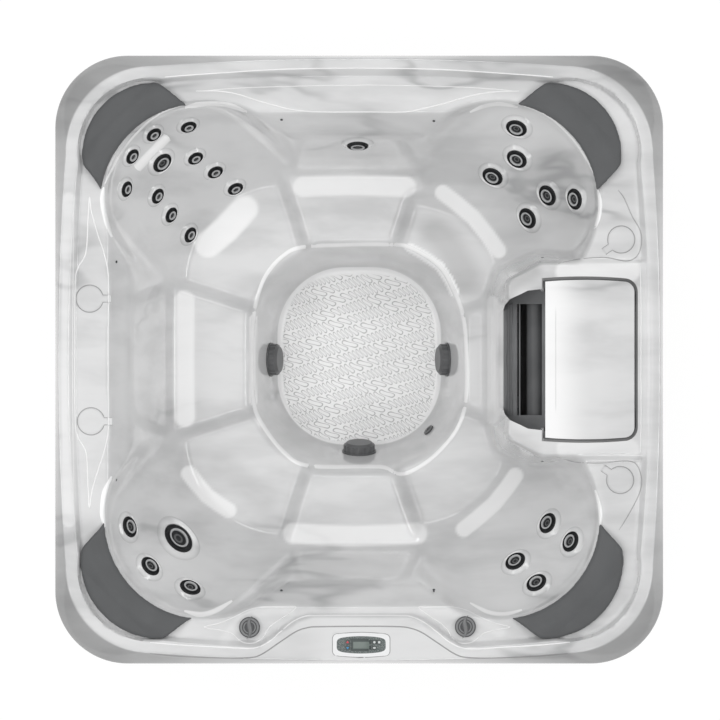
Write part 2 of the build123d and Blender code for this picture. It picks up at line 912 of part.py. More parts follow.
def pillow_pins(right, back, grow):
    """Two pins that hold a head rest in the deck."""
    pins = []
    low = deck_under - pillow_pin_length
    for angle in (-pillow_pin_angle, pillow_pin_angle):
        pin = extrude(RegularPolygon(pillow_pin_radius + grow, pipe_sides), deck_height + pillow_edge - low)
        pins.append(pillow_place(right, back) * Rot(0, 0, angle) * Pos(pillow_crown_radius, 0, low) * pin)
    return pins


def pillow(right, back):
    """Head rest swept round its lobe, with a crown, a soft nose over the edge, slanted ends and pins."""
    low = deck_height + 2 * seat_gap
    top = low + pillow_thickness
    rim = lobe_radius_share * half
    nose = pillow_inner_radius - pillow_nose
    profile = Polyline(
        (pillow_outer_radius, low),
        (pillow_outer_radius, low + pillow_edge),
        (pillow_crown_radius, top),
        (pillow_inner_radius, low + pillow_edge),
        (nose, low - pillow_nose_drop / 2),
        (nose, low - pillow_nose_drop),
        (rim - 2 * pillow_edge, low - pillow_nose_drop),
        (rim - pillow_edge, low),
        close=True,
    )
    section = Plane.XZ * make_face(profile)
    swept = Rot(0, 0, -pillow_inner_angle) * revolve(section, Axis.Z, 2 * pillow_inner_angle)
    ends = []
    for angle, radius in ((-pillow_inner_angle, nose), (-pillow_outer_angle, pillow_end_radius)):
        turned = math.radians(angle)
        ends.append((radius * math.cos(turned), radius * math.sin(turned)))
    inner, outer = ends
    plan = Curve() + [
        Line((0, 0), inner),
        Line(inner, outer),
        ThreePointArc(outer, (pillow_outer_radius, 0), (outer[0], -outer[1])),
        Line((outer[0], -outer[1]), (inner[0], -inner[1])),
        Line((inner[0], -inner[1]), (0, 0)),
    ]
    swept = swept & Pos(0, 0, lip_bottom - pillow_nose_drop) * extrude(make_face(plan), overall_height)
    return pillow_place(right, back) * swept + pillow_pins(right, back, 0)


def pillows_by_corner():
    names = {}
    for right in (False, True):
        for back in (False, True):
            name = "pillow_" + ("back" if back else "front") + ("_right" if right else "_left")
            names[name] = pillow(right, back)
    return names


def diverter_valve(x, y):
    """Valve below the front deck with a ring round its knob and two ports for the pipes."""
    ring = Pos(x, y, deck_height + seat_gap) * extrude(Circle(knob_radius + knob_ring), knob_ring_height)
    neck = Pos(x, y, deck_under - seat_gap) * extrude(Circle(knob_neck_radius), shell_wall + 2 * seat_gap)
    body = Pos(x, y, deck_under - seat_gap - valve_height) * extrude(Circle(valve_radius), valve_height)
    form = ring + neck + body
    for direction in (-1, 1):
        reach = direction * valve_port_length / 2
        plane = Plane((x, y, deck_under - valve_height / 2), z_dir=(direction, 0, 0))
        form += faceted(plane, valve_port_radius, abs(reach), abs(reach) + valve_port_length)
    top = deck_height + seat_gap + knob_ring_height
    return form - Pos(x, y, top - knob_stem) * extrude(Circle(knob_stem_radius + running_gap), knob_stem)


def knob(x, y):
    """Turning cap with a raised pointer grip and a stem into the valve."""
    low = deck_height + 2 * seat_gap + knob_ring_height
    form = Pos(x, y, low) * extrude(Circle(knob_radius), knob_height)
    grip = SlotOverall(2 * knob_radius - knob_ring, knob_grip_width)
    form += Pos(x, y, low + knob_height) * Rot(0, 0, 90) * extrude(grip, knob_grip_height)
    stem_low = low - knob_stem + knob_ring
    form += Pos(x, y, stem_low) * extrude(Circle(knob_stem_radius), low - stem_low)
    return form


def panel_box_outline(grow):
    length = panel_length - 2 * panel_box_inset + 2 * grow
    return Rectangle(length, panel_width - panel_box_inset + 2 * grow)


def key_places():
    """Five keys round the display: two in a column on the left, three on the right."""
    left = -display_length / 2 - key_column / 2 - display_offset / 2
    right = display_length / 2 + key_column / 2 - display_offset / 2
    rows = (key_row / 2, -key_row / 2)
    return {
        "key_up": (left, rows[0]),
        "key_down": (left, rows[1]),
        "key_jets": (right, rows[0]),
        "key_light": (right + key_column, rows[0]),
        "key_mode": (right, rows[1]),
    }


def control_panel():
    """Bezel and face of the control panel with its wells for keys and display, and its box below."""
    low = overall_height - panel_sink + seat_gap
    form = panel_place(low) * extrude(panel_outline(0), panel_thickness)
    tail = panel_box_outline(0)
    form += panel_place(low - panel_box_depth) * extrude(tail, panel_box_depth)
    face = panel_place(low + panel_thickness - face_sink) * extrude(panel_outline(-face_inset / 2), panel_sink)
    form -= face
    surface = low + panel_thickness - face_sink
    window = Rectangle(display_length, display_width)
    form -= panel_place(surface - display_sink) * Pos(-display_offset / 2, 0) * extrude(window, panel_sink)
    for x, y in key_places().values():
        well = Rectangle(key_length + 2 * key_side_gap, key_width + 2 * key_side_gap)
        depth = key_thickness + key_travel + seat_gap - key_rise
        form -= panel_place(surface - depth) * Pos(x, y) * extrude(well, depth + panel_sink)
    return form


def display():
    """Display with its frame, set into the panel's window."""
    low = overall_height - panel_sink + seat_gap + panel_thickness - face_sink - display_sink + seat_gap
    frame = Rectangle(display_length - 2 * seat_gap, display_width - 2 * seat_gap)
    form = panel_place(low) * Pos(-display_offset / 2, 0) * extrude(frame, display_thickness)
    return form


def key(place):
    x, y = place
    surface = overall_height - panel_sink + seat_gap + panel_thickness - face_sink
    low = surface + key_rise - key_thickness
    cap = extrude(Rectangle(key_length, key_width), key_thickness)
    return panel_place(low) * Pos(x, y) * cap


def cabinet_boards(length):
    """Side panel with level board grooves, upright in the plane of the front."""
    low, high = base_rim, lip_bottom + cabinet_top_lap
    form = Pos(0, panel_board / 2, (low + high) / 2) * Box(length, panel_board, high - low)
    pitch = (high - low) / board_rows
    for row in range(1, board_rows):
        form -= Pos(0, 0, low + row * pitch) * Box(length, 2 * board_groove, board_groove_width)
    return form


def side_length():
    return 2 * (cabinet_half - cabinet_corner_radius - cabinet_gap)


def cabinet_side(quarter):
    return Rot(0, 0, 90 * quarter) * Pos(0, -cabinet_half, 0) * cabinet_boards(side_length())


def front_panel():
    """Access panel in front of the equipment, with the hole for the supply conduit."""
    form = cabinet_side(0)
    bore = Pos(conduit_x_share * half, -cabinet_half, conduit_height) * Rot(90, 0, 0)
    return form - bore * Cylinder(conduit_radius, 4 * panel_board)


def corner_post():
    """Curved corner of the cabinet."""
    centre = cabinet_half - cabinet_corner_radius
    ring = Circle(cabinet_corner_radius) - Circle(cabinet_corner_radius - panel_board)
    quarter = ring & Pos(cabinet_corner_radius / 2, cabinet_corner_radius / 2) * Rectangle(
        cabinet_corner_radius, cabinet_corner_radius)
    return Pos(centre, centre, base_rim) * extrude(quarter, lip_bottom + cabinet_top_lap - base_rim)


def four_times(form):
    return [Rot(0, 0, 90 * quarter) * form for quarter in range(4)]


def base_pan():
    """Moulded tray under the whole tub."""
    outline = RectangleRounded(2 * cabinet_half, 2 * cabinet_half, cabinet_corner_radius)
    inner_half = cabinet_half - base_rim_wall
    inner = RectangleRounded(2 * inner_half, 2 * inner_half, cabinet_corner_radius - base_rim_wall)
    return extrude(outline, base_rim) - Pos(0, 0, base_floor) * extrude(inner, base_rim)


def frame_ring(low):
    """Level ring of square tube inside the cabinet."""
    outer = cabinet_half - panel_board
    inner = outer - tube
    ring = RectangleRounded(2 * outer, 2 * outer, frame_corner_radius)
    ring -= RectangleRounded(2 * inner, 2 * inner, frame_corner_radius - tube)
    return Pos(0, 0, low) * extrude(ring, tube)


def frame():
    """Welded frame: two rings, eight posts and the bearers under the footwell."""
    top = deck_under - tube
    base = base_rim
    form = frame_ring(top) + frame_ring(base)
    reach = cabinet_half - panel_board - tube / 2
    for quarter in range(4):
        for side in (-1, 1):
            post = Pos(side * post_share * half, -reach, (base + top) / 2) * Box(tube, tube, top - base)
            form += Rot(0, 0, 90 * quarter) * post
    under = footwell_height - shell_wall
    for side in (-1, 1):
        y = side * bearer_share * half
        form += Pos(0, y, (base_floor + under) / 2) * Box(2 * reach, tube, under - base_floor)
    return form


def screws():
    """Heads of the screws that hold the access panel and its neighbours."""
    heads = []
    low, high = base_rim + screw_inset, lip_bottom - screw_inset
    for quarter in range(4):
        for side in (-1, 1):
            for z in (low, high):
                x = side * (side_length() / 2 - screw_inset)
                place = Pos(x, -cabinet_half - screw_head / 2, z) * Rot(90, 0, 0)
                head = extrude(RegularPolygon(screw_radius, 6), screw_head / 2, both=True)
                heads.append(Rot(0, 0, 90 * quarter) * place * head)
    return Compound(children=heads)


def lying(x, y, z, radius, length):
    """Round bar along X that starts at x."""
    return Pos(x, y, z) * Rot(0, 90, 0) * Cylinder(radius, length, align=(Align.CENTER, Align.CENTER, Align.MIN))


def pump():
    """Motor casing and volute of the pump, hollow for the rotor, with its foot."""
    y = pump_y_share * half
    z = pump_height
    form = lying(pump_x, y, z, motor_radius, motor_length)
    form += lying(pump_x - volute_length, y, z, volute_radius, volute_length)
    inlet_x = pump_x - volute_length - port_length
    form += lying(inlet_x, y, z, port_radius, port_length + casing_wall)
    outlet = Pos(pump_x - volute_length / 2, y, z) * extrude(Circle(port_radius), volute_radius + port_length)
    form += outlet
    form += Pos(pump_x + motor_length / 2, y, (base_floor + z) / 2) * Box(
        motor_length / 2, pump_foot_width, z - base_floor)
    chamber = lying(pump_x - volute_length + casing_wall, y, z, volute_radius - casing_wall,
                    volute_length - 2 * casing_wall)
    windings = lying(pump_x + casing_wall, y, z, motor_radius - casing_wall, motor_length - 2 * casing_wall)
    bore = lying(pump_x - 2 * casing_wall, y, z, shaft_radius + running_gap, motor_length + casing_wall)
    inlet = lying(inlet_x, y, z, port_radius - port_wall, port_length + 2 * casing_wall)
    drop = Pos(pump_x - volute_length / 2, y, z) * extrude(
        Circle(port_radius - port_wall), volute_radius + port_length)
    return form - chamber - windings - bore - inlet - drop


def pump_rotor():
    """Impeller with its vanes, the shaft and the motor's rotor."""
    y = pump_y_share * half
    z = pump_height
    shaft_start = pump_x - volute_length / 2
    form = lying(shaft_start, y, z, shaft_radius, volute_length / 2 + motor_length - casing_wall - seat_gap)
    disc_x = shaft_start
    form += lying(disc_x, y, z, impeller_radius, impeller_thickness / 2)
    for number in range(impeller_vanes):
        vane = Pos(-vane_height / 2, 0, impeller_radius / 2 + shaft_radius / 2) * Box(
            vane_height, vane_thickness, impeller_radius - shaft_radius)
        turned = Rot(360 / impeller_vanes * number, 0, 0) * vane
        form += Pos(disc_x + seat_gap, y, z) * turned
    rotor_x = pump_x + (motor_length - rotor_length) / 2
    return form + lying(rotor_x, y, z, rotor_radius, rotor_length)


def heater():
    """Heater tube in the return line with its two clamps."""
    plane = Plane((heater_x, pump_y_share * half, heater_height), z_dir=(1, 0, 0))
    form = faceted(plane, heater_radius, 0, heater_length, pipe_sides)
    for start in (heater_clamp_length, heater_length - 2 * heater_clamp_length):
        clamp = faceted(plane, heater_radius + heater_clamp, start, start + heater_clamp_length, pipe_sides)
        form += clamp
    return form


def control_box():
    """Box of the pump and heater controls, with its lid."""
    x, y = at((control_x_share, control_y_share))
    form = Pos(x, y, base_floor + control_height / 2) * Box(control_length, control_width, control_height)
    lid_length = control_length + 2 * control_lid_overhang
    lid_width = control_width + 2 * control_lid_overhang
    lid = Box(lid_length, lid_width, control_lid)
    return form + Pos(x, y, base_floor + control_height + control_lid / 2) * lid


def pipe(points):
    """Rigid pipe along straight runs with round bends."""
    path = FilletPolyline(*points, radius=pipe_bend) if len(points) > 2 else Line(*points)
    start = Plane(path @ 0, z_dir=path % 0)
    return sweep(start * RegularPolygon(pipe_radius, pipe_sides), path=path)


def suction_pipe(plane):
    """Pipe from the left suction cover to the pump's inlet."""
    y = pump_y_share * half
    inlet_x = pump_x - volute_length - port_length - seat_gap
    tail = plane.offset(-suction_tail - seat_gap).origin
    approach = plane.offset(-suction_tail - pipe_approach).origin
    return pipe([
        (inlet_x, y, pump_height),
        (approach.X, y, pump_height),
        (approach.X, 0, approach.Z),
        (tail.X, 0, tail.Z),
    ])


def return_pipe():
    """Pipe from the pump's outlet up to the heater."""
    y = pump_y_share * half
    x = pump_x - volute_length / 2
    low = pump_height + volute_radius + port_length + seat_gap
    return pipe([(x, y, low), (x, y, heater_height), (heater_x - seat_gap, y, heater_height)])


def manifold():
    """Capped pipe after the heater with stubs for the jets' hoses."""
    start = heater_x + heater_length + seat_gap
    y = pump_y_share * half
    plane = Plane((start, y, heater_height), z_dir=(1, 0, 0))
    form = faceted(plane, pipe_radius, 0, manifold_gap, pipe_sides)
    form += faceted(plane, manifold_radius, manifold_gap, manifold_gap + manifold_length, pipe_sides)
    pitch = manifold_length / manifold_stubs
    for number in range(manifold_stubs):
        x = start + manifold_gap + (number + 0.5) * pitch
        stub = Plane((x, y, heater_height), z_dir=(0, 0, 1))
        form += faceted(stub, stub_radius, 0, stub_length)
    return form


def write(name, shape):
    export_step(shape, f"parts/{name}.step")


def main():
    os.makedirs("parts", exist_ok=True)
    well = well_form(0, deck_height + cut_overrun)
    seats = jet_seats(well)
    suctions = suction_planes(well)
    write("shell", make_shell(well, seats, suctions))
    write("jet_bodies", Compound(children=[jet_body(*seat) for seat in seats.values()]))
    for name, seat in seats.items():
        write(name, jet_face(*seat))
    write("light_lenses", Compound(children=[light_lens(plane) for plane in light_planes(well)]))
    write("suction_covers", Compound(children=[suction_cover(plane) for plane in suctions.values()]))
    write("floor_drain", floor_drain(well))
    write("filter_lid", filter_lid())
    write("filter_housing", filter_housing())
    write("weir", weir())
    cartridge_x, cartridge_y = at((cartridge_x_share, cartridge_y_share))
    cartridges = [filter_cartridge(cartridge_x, side * cartridge_y) for side in (-1, 1)]
    write("filter_cartridges", Compound(children=cartridges))
    for name, form in pillows_by_corner().items():
        write(name, form)
    valves = [diverter_valve(x, y) for x, y in knob_places().values()]
    write("diverter_valves", Compound(children=valves))
    for side, (x, y) in knob_places().items():
        write(f"knob_{side}", knob(x, y))
    write("control_panel", control_panel())
    write("display", display())
    for name, place in key_places().items():
        write(name, key(place))
    write("front_panel", front_panel())
    write("side_panels", Compound(children=[cabinet_side(quarter) for quarter in (1, 2, 3)]))
    write("corner_posts", Compound(children=four_times(corner_post())))
    write("panel_screws", screws())
    write("base_pan", base_pan())
    write("frame", frame())
    write("pump_casing", pump())
    write("pump_rotor", pump_rotor())
    write("heater", heater())
    write("control_box", control_box())
    write("pipes", Compound(children=[suction_pipe(suctions["left"]), return_pipe(), manifold()]))


main()
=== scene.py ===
import bisect
import json
import math

import bmesh
import bpy
from mathutils import Matrix, Vector
from mathutils.bvhtree import BVHTree

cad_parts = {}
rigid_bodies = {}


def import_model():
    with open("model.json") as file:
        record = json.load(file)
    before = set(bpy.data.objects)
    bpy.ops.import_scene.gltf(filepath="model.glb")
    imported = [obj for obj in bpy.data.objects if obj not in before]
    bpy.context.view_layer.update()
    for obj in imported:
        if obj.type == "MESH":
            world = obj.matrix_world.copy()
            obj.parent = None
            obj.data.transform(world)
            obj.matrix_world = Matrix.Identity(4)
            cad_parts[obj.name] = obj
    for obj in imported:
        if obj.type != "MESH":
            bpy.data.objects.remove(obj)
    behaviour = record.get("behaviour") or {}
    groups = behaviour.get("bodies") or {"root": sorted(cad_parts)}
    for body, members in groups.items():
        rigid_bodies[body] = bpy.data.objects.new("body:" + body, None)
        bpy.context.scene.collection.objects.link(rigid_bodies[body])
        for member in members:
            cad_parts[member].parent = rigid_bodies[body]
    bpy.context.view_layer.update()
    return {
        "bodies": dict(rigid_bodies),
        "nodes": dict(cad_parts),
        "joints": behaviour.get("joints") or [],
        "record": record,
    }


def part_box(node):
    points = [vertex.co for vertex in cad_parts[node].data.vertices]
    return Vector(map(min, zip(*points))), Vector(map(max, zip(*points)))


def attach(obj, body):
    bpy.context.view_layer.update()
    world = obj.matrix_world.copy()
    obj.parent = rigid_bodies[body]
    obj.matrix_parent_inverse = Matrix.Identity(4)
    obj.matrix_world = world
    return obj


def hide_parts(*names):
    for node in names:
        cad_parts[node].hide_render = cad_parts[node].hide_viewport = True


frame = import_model()
nodes = frame["nodes"]
joints = {joint["child"]: joint for joint in frame["joints"]}
bodyOf = {node: body for body, group in frame["record"]["behaviour"]["bodies"].items() for node in group}
slotOf = {part["node"]: part["material_slot"] for part in frame["record"]["subparts"]}
half = 1.065
pixel = 0.003503  # metres to a pixel of the picture, at the height of the rim
print("stage: frame loaded,", len(nodes), "nodes")


# Camera, light and floor

view = {"lens": 1500, "width": 720 * pixel, "centre": (0.0028, -0.0014), "level": 0.88}
light = {
    "top": {"place": (-1.3, 0.1, 5.0), "size": (4.4, 4.6), "power": 58},
    "left": {"place": (-2.9, 0.0, 3.6), "size": (3.2, 0.7), "power": 21},
    "right": {"place": (2.9, 0.0, 3.6), "size": (3.2, 0.7), "power": 32},
    "front": {"place": (0, -2.9, 3.6), "size": (3.2, 0.7), "power": 26},
    "back": {"place": (0, 2.9, 3.6), "size": (3.2, 0.7), "power": 29},
}
backdrop = {"world": 0.4, "glow": 1.06, "share": 0.9, "size": 60}


def makeCamera():
    data = bpy.data.cameras.new("camera")
    data.lens = view["lens"]
    data.sensor_width = 36
    distance = view["width"] * data.lens / data.sensor_width
    data.clip_start, data.clip_end = distance * 0.5, distance * 2
    camera = bpy.data.objects.new("camera", data)
    camera.location = (view["centre"][0], view["centre"][1], view["level"] + distance)
    bpy.context.scene.collection.objects.link(camera)
    bpy.context.scene.camera = camera


def makeLight():
    for name, lamp in light.items():
        data = bpy.data.lights.new(name, "AREA")
        data.shape = "RECTANGLE"
        data.size, data.size_y = lamp["size"]
        data.energy = lamp["power"]
        obj = bpy.data.objects.new(name, data)
        obj.location = lamp["place"]
        aim = Vector((0, 0, 0.5)) - Vector(lamp["place"])
        obj.rotation_euler = aim.to_track_quat("-Z", "Y").to_euler()
        obj.visible_camera = False
        bpy.context.scene.collection.objects.link(obj)
    bpy.context.scene.view_settings.view_transform = "Standard"


# Shader maths

class Wire:  # one socket of a material, with the operators that the patterns use
    def __init__(self, maker, socket):
        self.maker, self.socket = maker, socket

    def math(self, kind, a, b=None):
        return self.maker.node("ShaderNodeMath", {"operation": kind}, {0: a} if b is None else {0: a, 1: b})

    def ramp(self, low, high, start=0.0, end=1.0):
        return self.maker.node("ShaderNodeMapRange", {"interpolation_type": "SMOOTHSTEP"},
                               {0: self, 1: low, 2: high, 3: start, 4: end})


def operator(kind, flipped=False):
    def made(self, *other):
        return self.math(kind, *other, self) if flipped else self.math(kind, self, *other)
    return made


for method, kind in {"__add__": "ADD", "__sub__": "SUBTRACT", "__mul__": "MULTIPLY", "__truediv__": "DIVIDE",
                     "__pow__": "POWER", "__abs__": "ABSOLUTE", "sin": "SINE", "fract": "FRACT",
                     "floor": "FLOOR", "atLeast": "MAXIMUM"}.items():
    setattr(Wire, method, operator(kind))
Wire.__rsub__ = operator("SUBTRACT", True)


class Finish:  # a material that is being made
    def __init__(self, name, colour, rough, metal=0.0, coat=0.0, coatRough=0.03, specular=0.5, sheen=0.0):
        self.material = bpy.data.materials.new(name)
        self.material.use_nodes = True
        self.tree = self.material.node_tree
        self.shader = self.tree.nodes["Principled BSDF"]
        self.shader.inputs["Base Color"].default_value = (*colour, 1)
        self.shader.inputs["Roughness"].default_value = rough
        self.shader.inputs["Metallic"].default_value = metal
        self.shader.inputs["Coat Weight"].default_value = coat
        self.shader.inputs["Coat Roughness"].default_value = coatRough
        self.shader.inputs["Specular IOR Level"].default_value = specular
        self.shader.inputs["Sheen Weight"].default_value = sheen
        self.material.diffuse_color = (*colour, 1)

    def node(self, kind, settings=None, inputs=None, out=0):
        made = self.tree.nodes.new(kind)
        for key, value in (settings or {}).items():
            if key == "stops":
                ramp = made.color_ramp
                while len(ramp.elements) < len(value):
                    ramp.elements.new(0.5)
                for element, (place, colour) in zip(ramp.elements, value):
                    element.position = place
                    element.color = (*colour, 1)
            else:
                setattr(made, key, value)
        for key, value in (inputs or {}).items():
            if isinstance(value, Wire):
                self.tree.links.new(value.socket, made.inputs[key])
            else:
                made.inputs[key].default_value = value
        return Wire(self, made.outputs[out])

    def place(self, scale=(1, 1, 1), turn=(0, 0, 0)):
        where = self.node("ShaderNodeTexCoord", out="Object")
        return self.node("ShaderNodeMapping", {}, {0: where, 2: turn, 3: scale})

    def axes(self, vector):
        split = self.node("ShaderNodeSeparateXYZ", {}, {0: vector})
        outs = split.socket.node.outputs
        return [Wire(self, outs[i]) for i in range(3)]

    def noise(self, vector, scale, detail=3, rough=0.5, warp=0.0):
        return self.node("ShaderNodeTexNoise", {}, {"Vector": vector, "Scale": scale, "Detail": detail,
                                                    "Roughness": rough, "Distortion": warp})

    def mix(self, factor, a, b):
        return self.node("ShaderNodeMix", {"data_type": "RGBA"}, {0: factor, 6: a, 7: b}, out=2)

    def stops(self, value, stops):
        return self.node("ShaderNodeValToRGB", {"stops": stops}, {0: value})

    def bump(self, height, distance):
        return self.node("ShaderNodeBump", {}, {"Strength": 1.0, "Distance": distance, "Height": height})

    def set(self, **links):
        for key, wire in links.items():
            self.tree.links.new(wire.socket, self.shader.inputs[key.replace("_", " ")])
        return self.material


def grey(value, tint=0.0):
    return (value, value + tint * 0.4, value + tint)


# Finishes

# white and shade are the colours that the painted highlights and painted shade mix towards
marble = {
    "pale": grey(0.69, 0.004), "mid": grey(0.48, 0.006), "vein": grey(0.3, 0.008), "white": grey(0.97),
    "shade": grey(0.12), "veinScale": 0.8, "cloudScale": 1.9, "turn": 0.5,
    "floorTop": 0.112, "floorTone": grey(0.93), "line": grey(0.36), "lineDepth": 0.0012,
    "row": 0.041, "slope": 0.29, "pitch": 0.0205, "sway": 0.78, "loop": 0.9, "thick": (0.03, 0.14),
    "rough": 0.13, "treadHalf": (0.274, 0.299), "treadMiddle": 0.0056, "treadTone": 0.75,
}
bezel = {"half": (0.086, 0.0305), "bow": 0.0075, "speck": 330.0, "white": (0.82, 0.825, 0.83, 1),
         "dark": (0.06, 0.078, 0.075, 1), "pale": (0.21, 0.235, 0.228, 1)}
lid = {"paintedLightFade": (0.66, 0.82, 0.8, 0.04), "line": 0.6885, "lineWidth": (0.0004, 0.0016),
       "lineFrom": (0.15, 0.195)}


def marbleColour(finish):
    long = finish.place((1.0, 3.4, 1.4), (0.3, 0.2, marble["turn"]))
    near = finish.place((1, 1, 1), (0, 0, marble["turn"]))
    drift = finish.noise(near, 1.3, 2, 0.5)
    bent = finish.node("ShaderNodeVectorMath", {"operation": "MULTIPLY_ADD"},
                       {0: drift, 1: (0.5, 0.5, 0.5), 2: long})
    streak = abs(finish.noise(bent, marble["veinScale"], 4, 0.5) - 0.5)
    vein = streak.ramp(0.0, 0.03, 1.0, 0.0)
    soft = streak.ramp(0.0, 0.12, 1.0, 0.0)
    cloud = finish.noise(bent, marble["cloudScale"], 4, 0.55).ramp(0.40, 0.70)
    patch = finish.noise(near, 1.6, 2, 0.5).ramp(0.44, 0.64)
    base = finish.mix(cloud * 0.62, (*marble["pale"], 1), (*marble["mid"], 1))
    base = finish.mix(soft * patch * 0.6, base, (*marble["mid"], 1))
    return finish.mix(vein * patch * 0.62, base, (*marble["vein"], 1))


def treadLine(x, y):  # outlines of slanted loops of changing size, in rows that climb to the right
    along = x * math.cos(marble["slope"]) + y * math.sin(marble["slope"])
    across = (y * math.cos(marble["slope"]) - x * math.sin(marble["slope"])) / marble["row"]
    row = across.floor()
    high = across.fract() - 0.5
    shift = (row * 2.4).sin() * 1.7
    count = along / marble["pitch"] + (along * 30 + shift * 3).sin() * marble["sway"] + shift
    lean = high * 0.95 + (high * 6.3).sin() * 0.16
    wide = ((count + lean).fract() - 0.5) / 0.4
    tall = high / ((along * 30 + shift * 3).sin() * 0.06 + 0.46)
    reach = (wide * wide + tall * tall) ** 0.5
    return abs(reach - marble["loop"]).ramp(*marble["thick"], 1.0, 0.0)


def makeAcrylic():
    finish = Finish("acrylicMarble", marble["pale"], marble["rough"], coat=0.6, coatRough=0.05)
    colour = marbleColour(finish)
    x, y, z = finish.axes(finish.node("ShaderNodeTexCoord", out="Object"))
    onFloor = z.ramp(marble["floorTop"] + 0.006, marble["floorTop"] - 0.004)
    across, along = abs(x) / marble["treadHalf"][0], abs(y - marble["treadMiddle"]) / marble["treadHalf"][1]
    tread = treadLine(x, y) * onFloor * (across ** 3.0 + along ** 3.0).ramp(0.9, 1.0, 1.0, 0.0)
    colour = finish.mix(onFloor, colour, (*marble["floorTone"], 1))
    colour = finish.mix(tread * marble["treadTone"], colour, (*marble["line"], 1))
    # painted highlights from the tone attribute, towards white, and painted shade, towards the shade colour
    tone = finish.node("ShaderNodeAttribute", {"attribute_name": "tone"}, out=2)
    colour = finish.mix(tone.atLeast(0.0), colour, (*marble["white"], 1))
    colour = finish.mix((0.0 - tone).atLeast(0.0), colour, (*marble["shade"], 1))
    rough = onFloor * 0.2 + marble["rough"]
    return finish.set(Base_Color=colour, Roughness=rough, Normal=finish.bump(tread, marble["lineDepth"]))


def makePlain(name, colour, rough, grain=180.0, depth=0.0002, spread=0.12, metal=0.0, coat=0.0, sheen=0.0,
              stretch=(1, 1, 1)):
    finish = Finish(name, colour, rough, metal, coat, sheen=sheen)
    fine = finish.noise(finish.place(stretch), grain, 3, 0.6)
    wide = finish.noise(finish.place(), 9.0, 3, 0.5)
    dark = [c * (1 - spread) for c in colour]
    pale = [min(1, c * (1 + spread)) for c in colour]
    tone = finish.mix(wide.ramp(0.3, 0.7), (*dark, 1), (*pale, 1))
    shade = (fine * 0.12 + (rough - 0.06))
    return finish.set(Base_Color=tone, Roughness=shade, Normal=finish.bump(fine, depth))


def makeBoards():
    finish = Finish("cabinetBoards", (0.12, 0.112, 0.105), 0.5)
    grain = finish.noise(finish.place((3, 3, 60)), 3.0, 6, 0.6, 0.4)
    broad = finish.noise(finish.place((1, 1, 9)), 4.0, 3, 0.5)
    shades = [(0.32, (0.062, 0.057, 0.053)), (0.5, (0.125, 0.116, 0.108)), (0.68, (0.2, 0.188, 0.176))]
    tone = finish.stops(grain * 0.7 + broad * 0.3, shades)
    return finish.set(Base_Color=tone, Roughness=grain * 0.2 + 0.4, Normal=finish.bump(grain, 0.0008))


def makePanelFinish():  # white bowed bezel round a dark mottled face
    finish = Finish("panelFace", (0.12, 0.14, 0.137), 0.35, coat=0.4)
    low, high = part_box("control_panel")
    centre = (low + high) / 2
    x, y, _ = finish.axes(finish.node("ShaderNodeTexCoord", out="Object"))
    across = abs(x - centre.x) / bezel["half"][0]
    along = (abs(y - centre.y) + across * across * bezel["bow"]) / bezel["half"][1]
    inside = (across ** 7.0 + along ** 7.0).ramp(0.92, 1.06, 1.0, 0.0)
    speck = finish.noise(finish.place(), bezel["speck"], 2, 0.6).ramp(0.45, 0.62)
    tone = finish.mix(inside, bezel["white"], finish.mix(speck, bezel["dark"], bezel["pale"]))
    return finish.set(Base_Color=tone, Roughness=inside * 0.15 + 0.22)


def makeLidFinish():  # acrylic that is painted paler towards the rounded front edge, as a highlight, with one fine line
    finish = Finish("lidMarble", marble["pale"], marble["rough"], coat=0.6, coatRough=0.05)
    x, y, _ = finish.axes(finish.node("ShaderNodeTexCoord", out="Object"))
    # painted highlight: the colour fades to white towards the front edge
    colour = finish.mix(x.ramp(*lid["paintedLightFade"]), marbleColour(finish), (*marble["white"], 1))
    line = abs(x - lid["line"]).ramp(*lid["lineWidth"], 1.0, 0.0) * abs(y).ramp(*lid["lineFrom"], 1.0, 0.0)
    colour = finish.mix(line * 0.4, colour, (*marble["vein"], 1))
    return finish.set(Base_Color=colour, Normal=finish.bump(line, 0.0006))


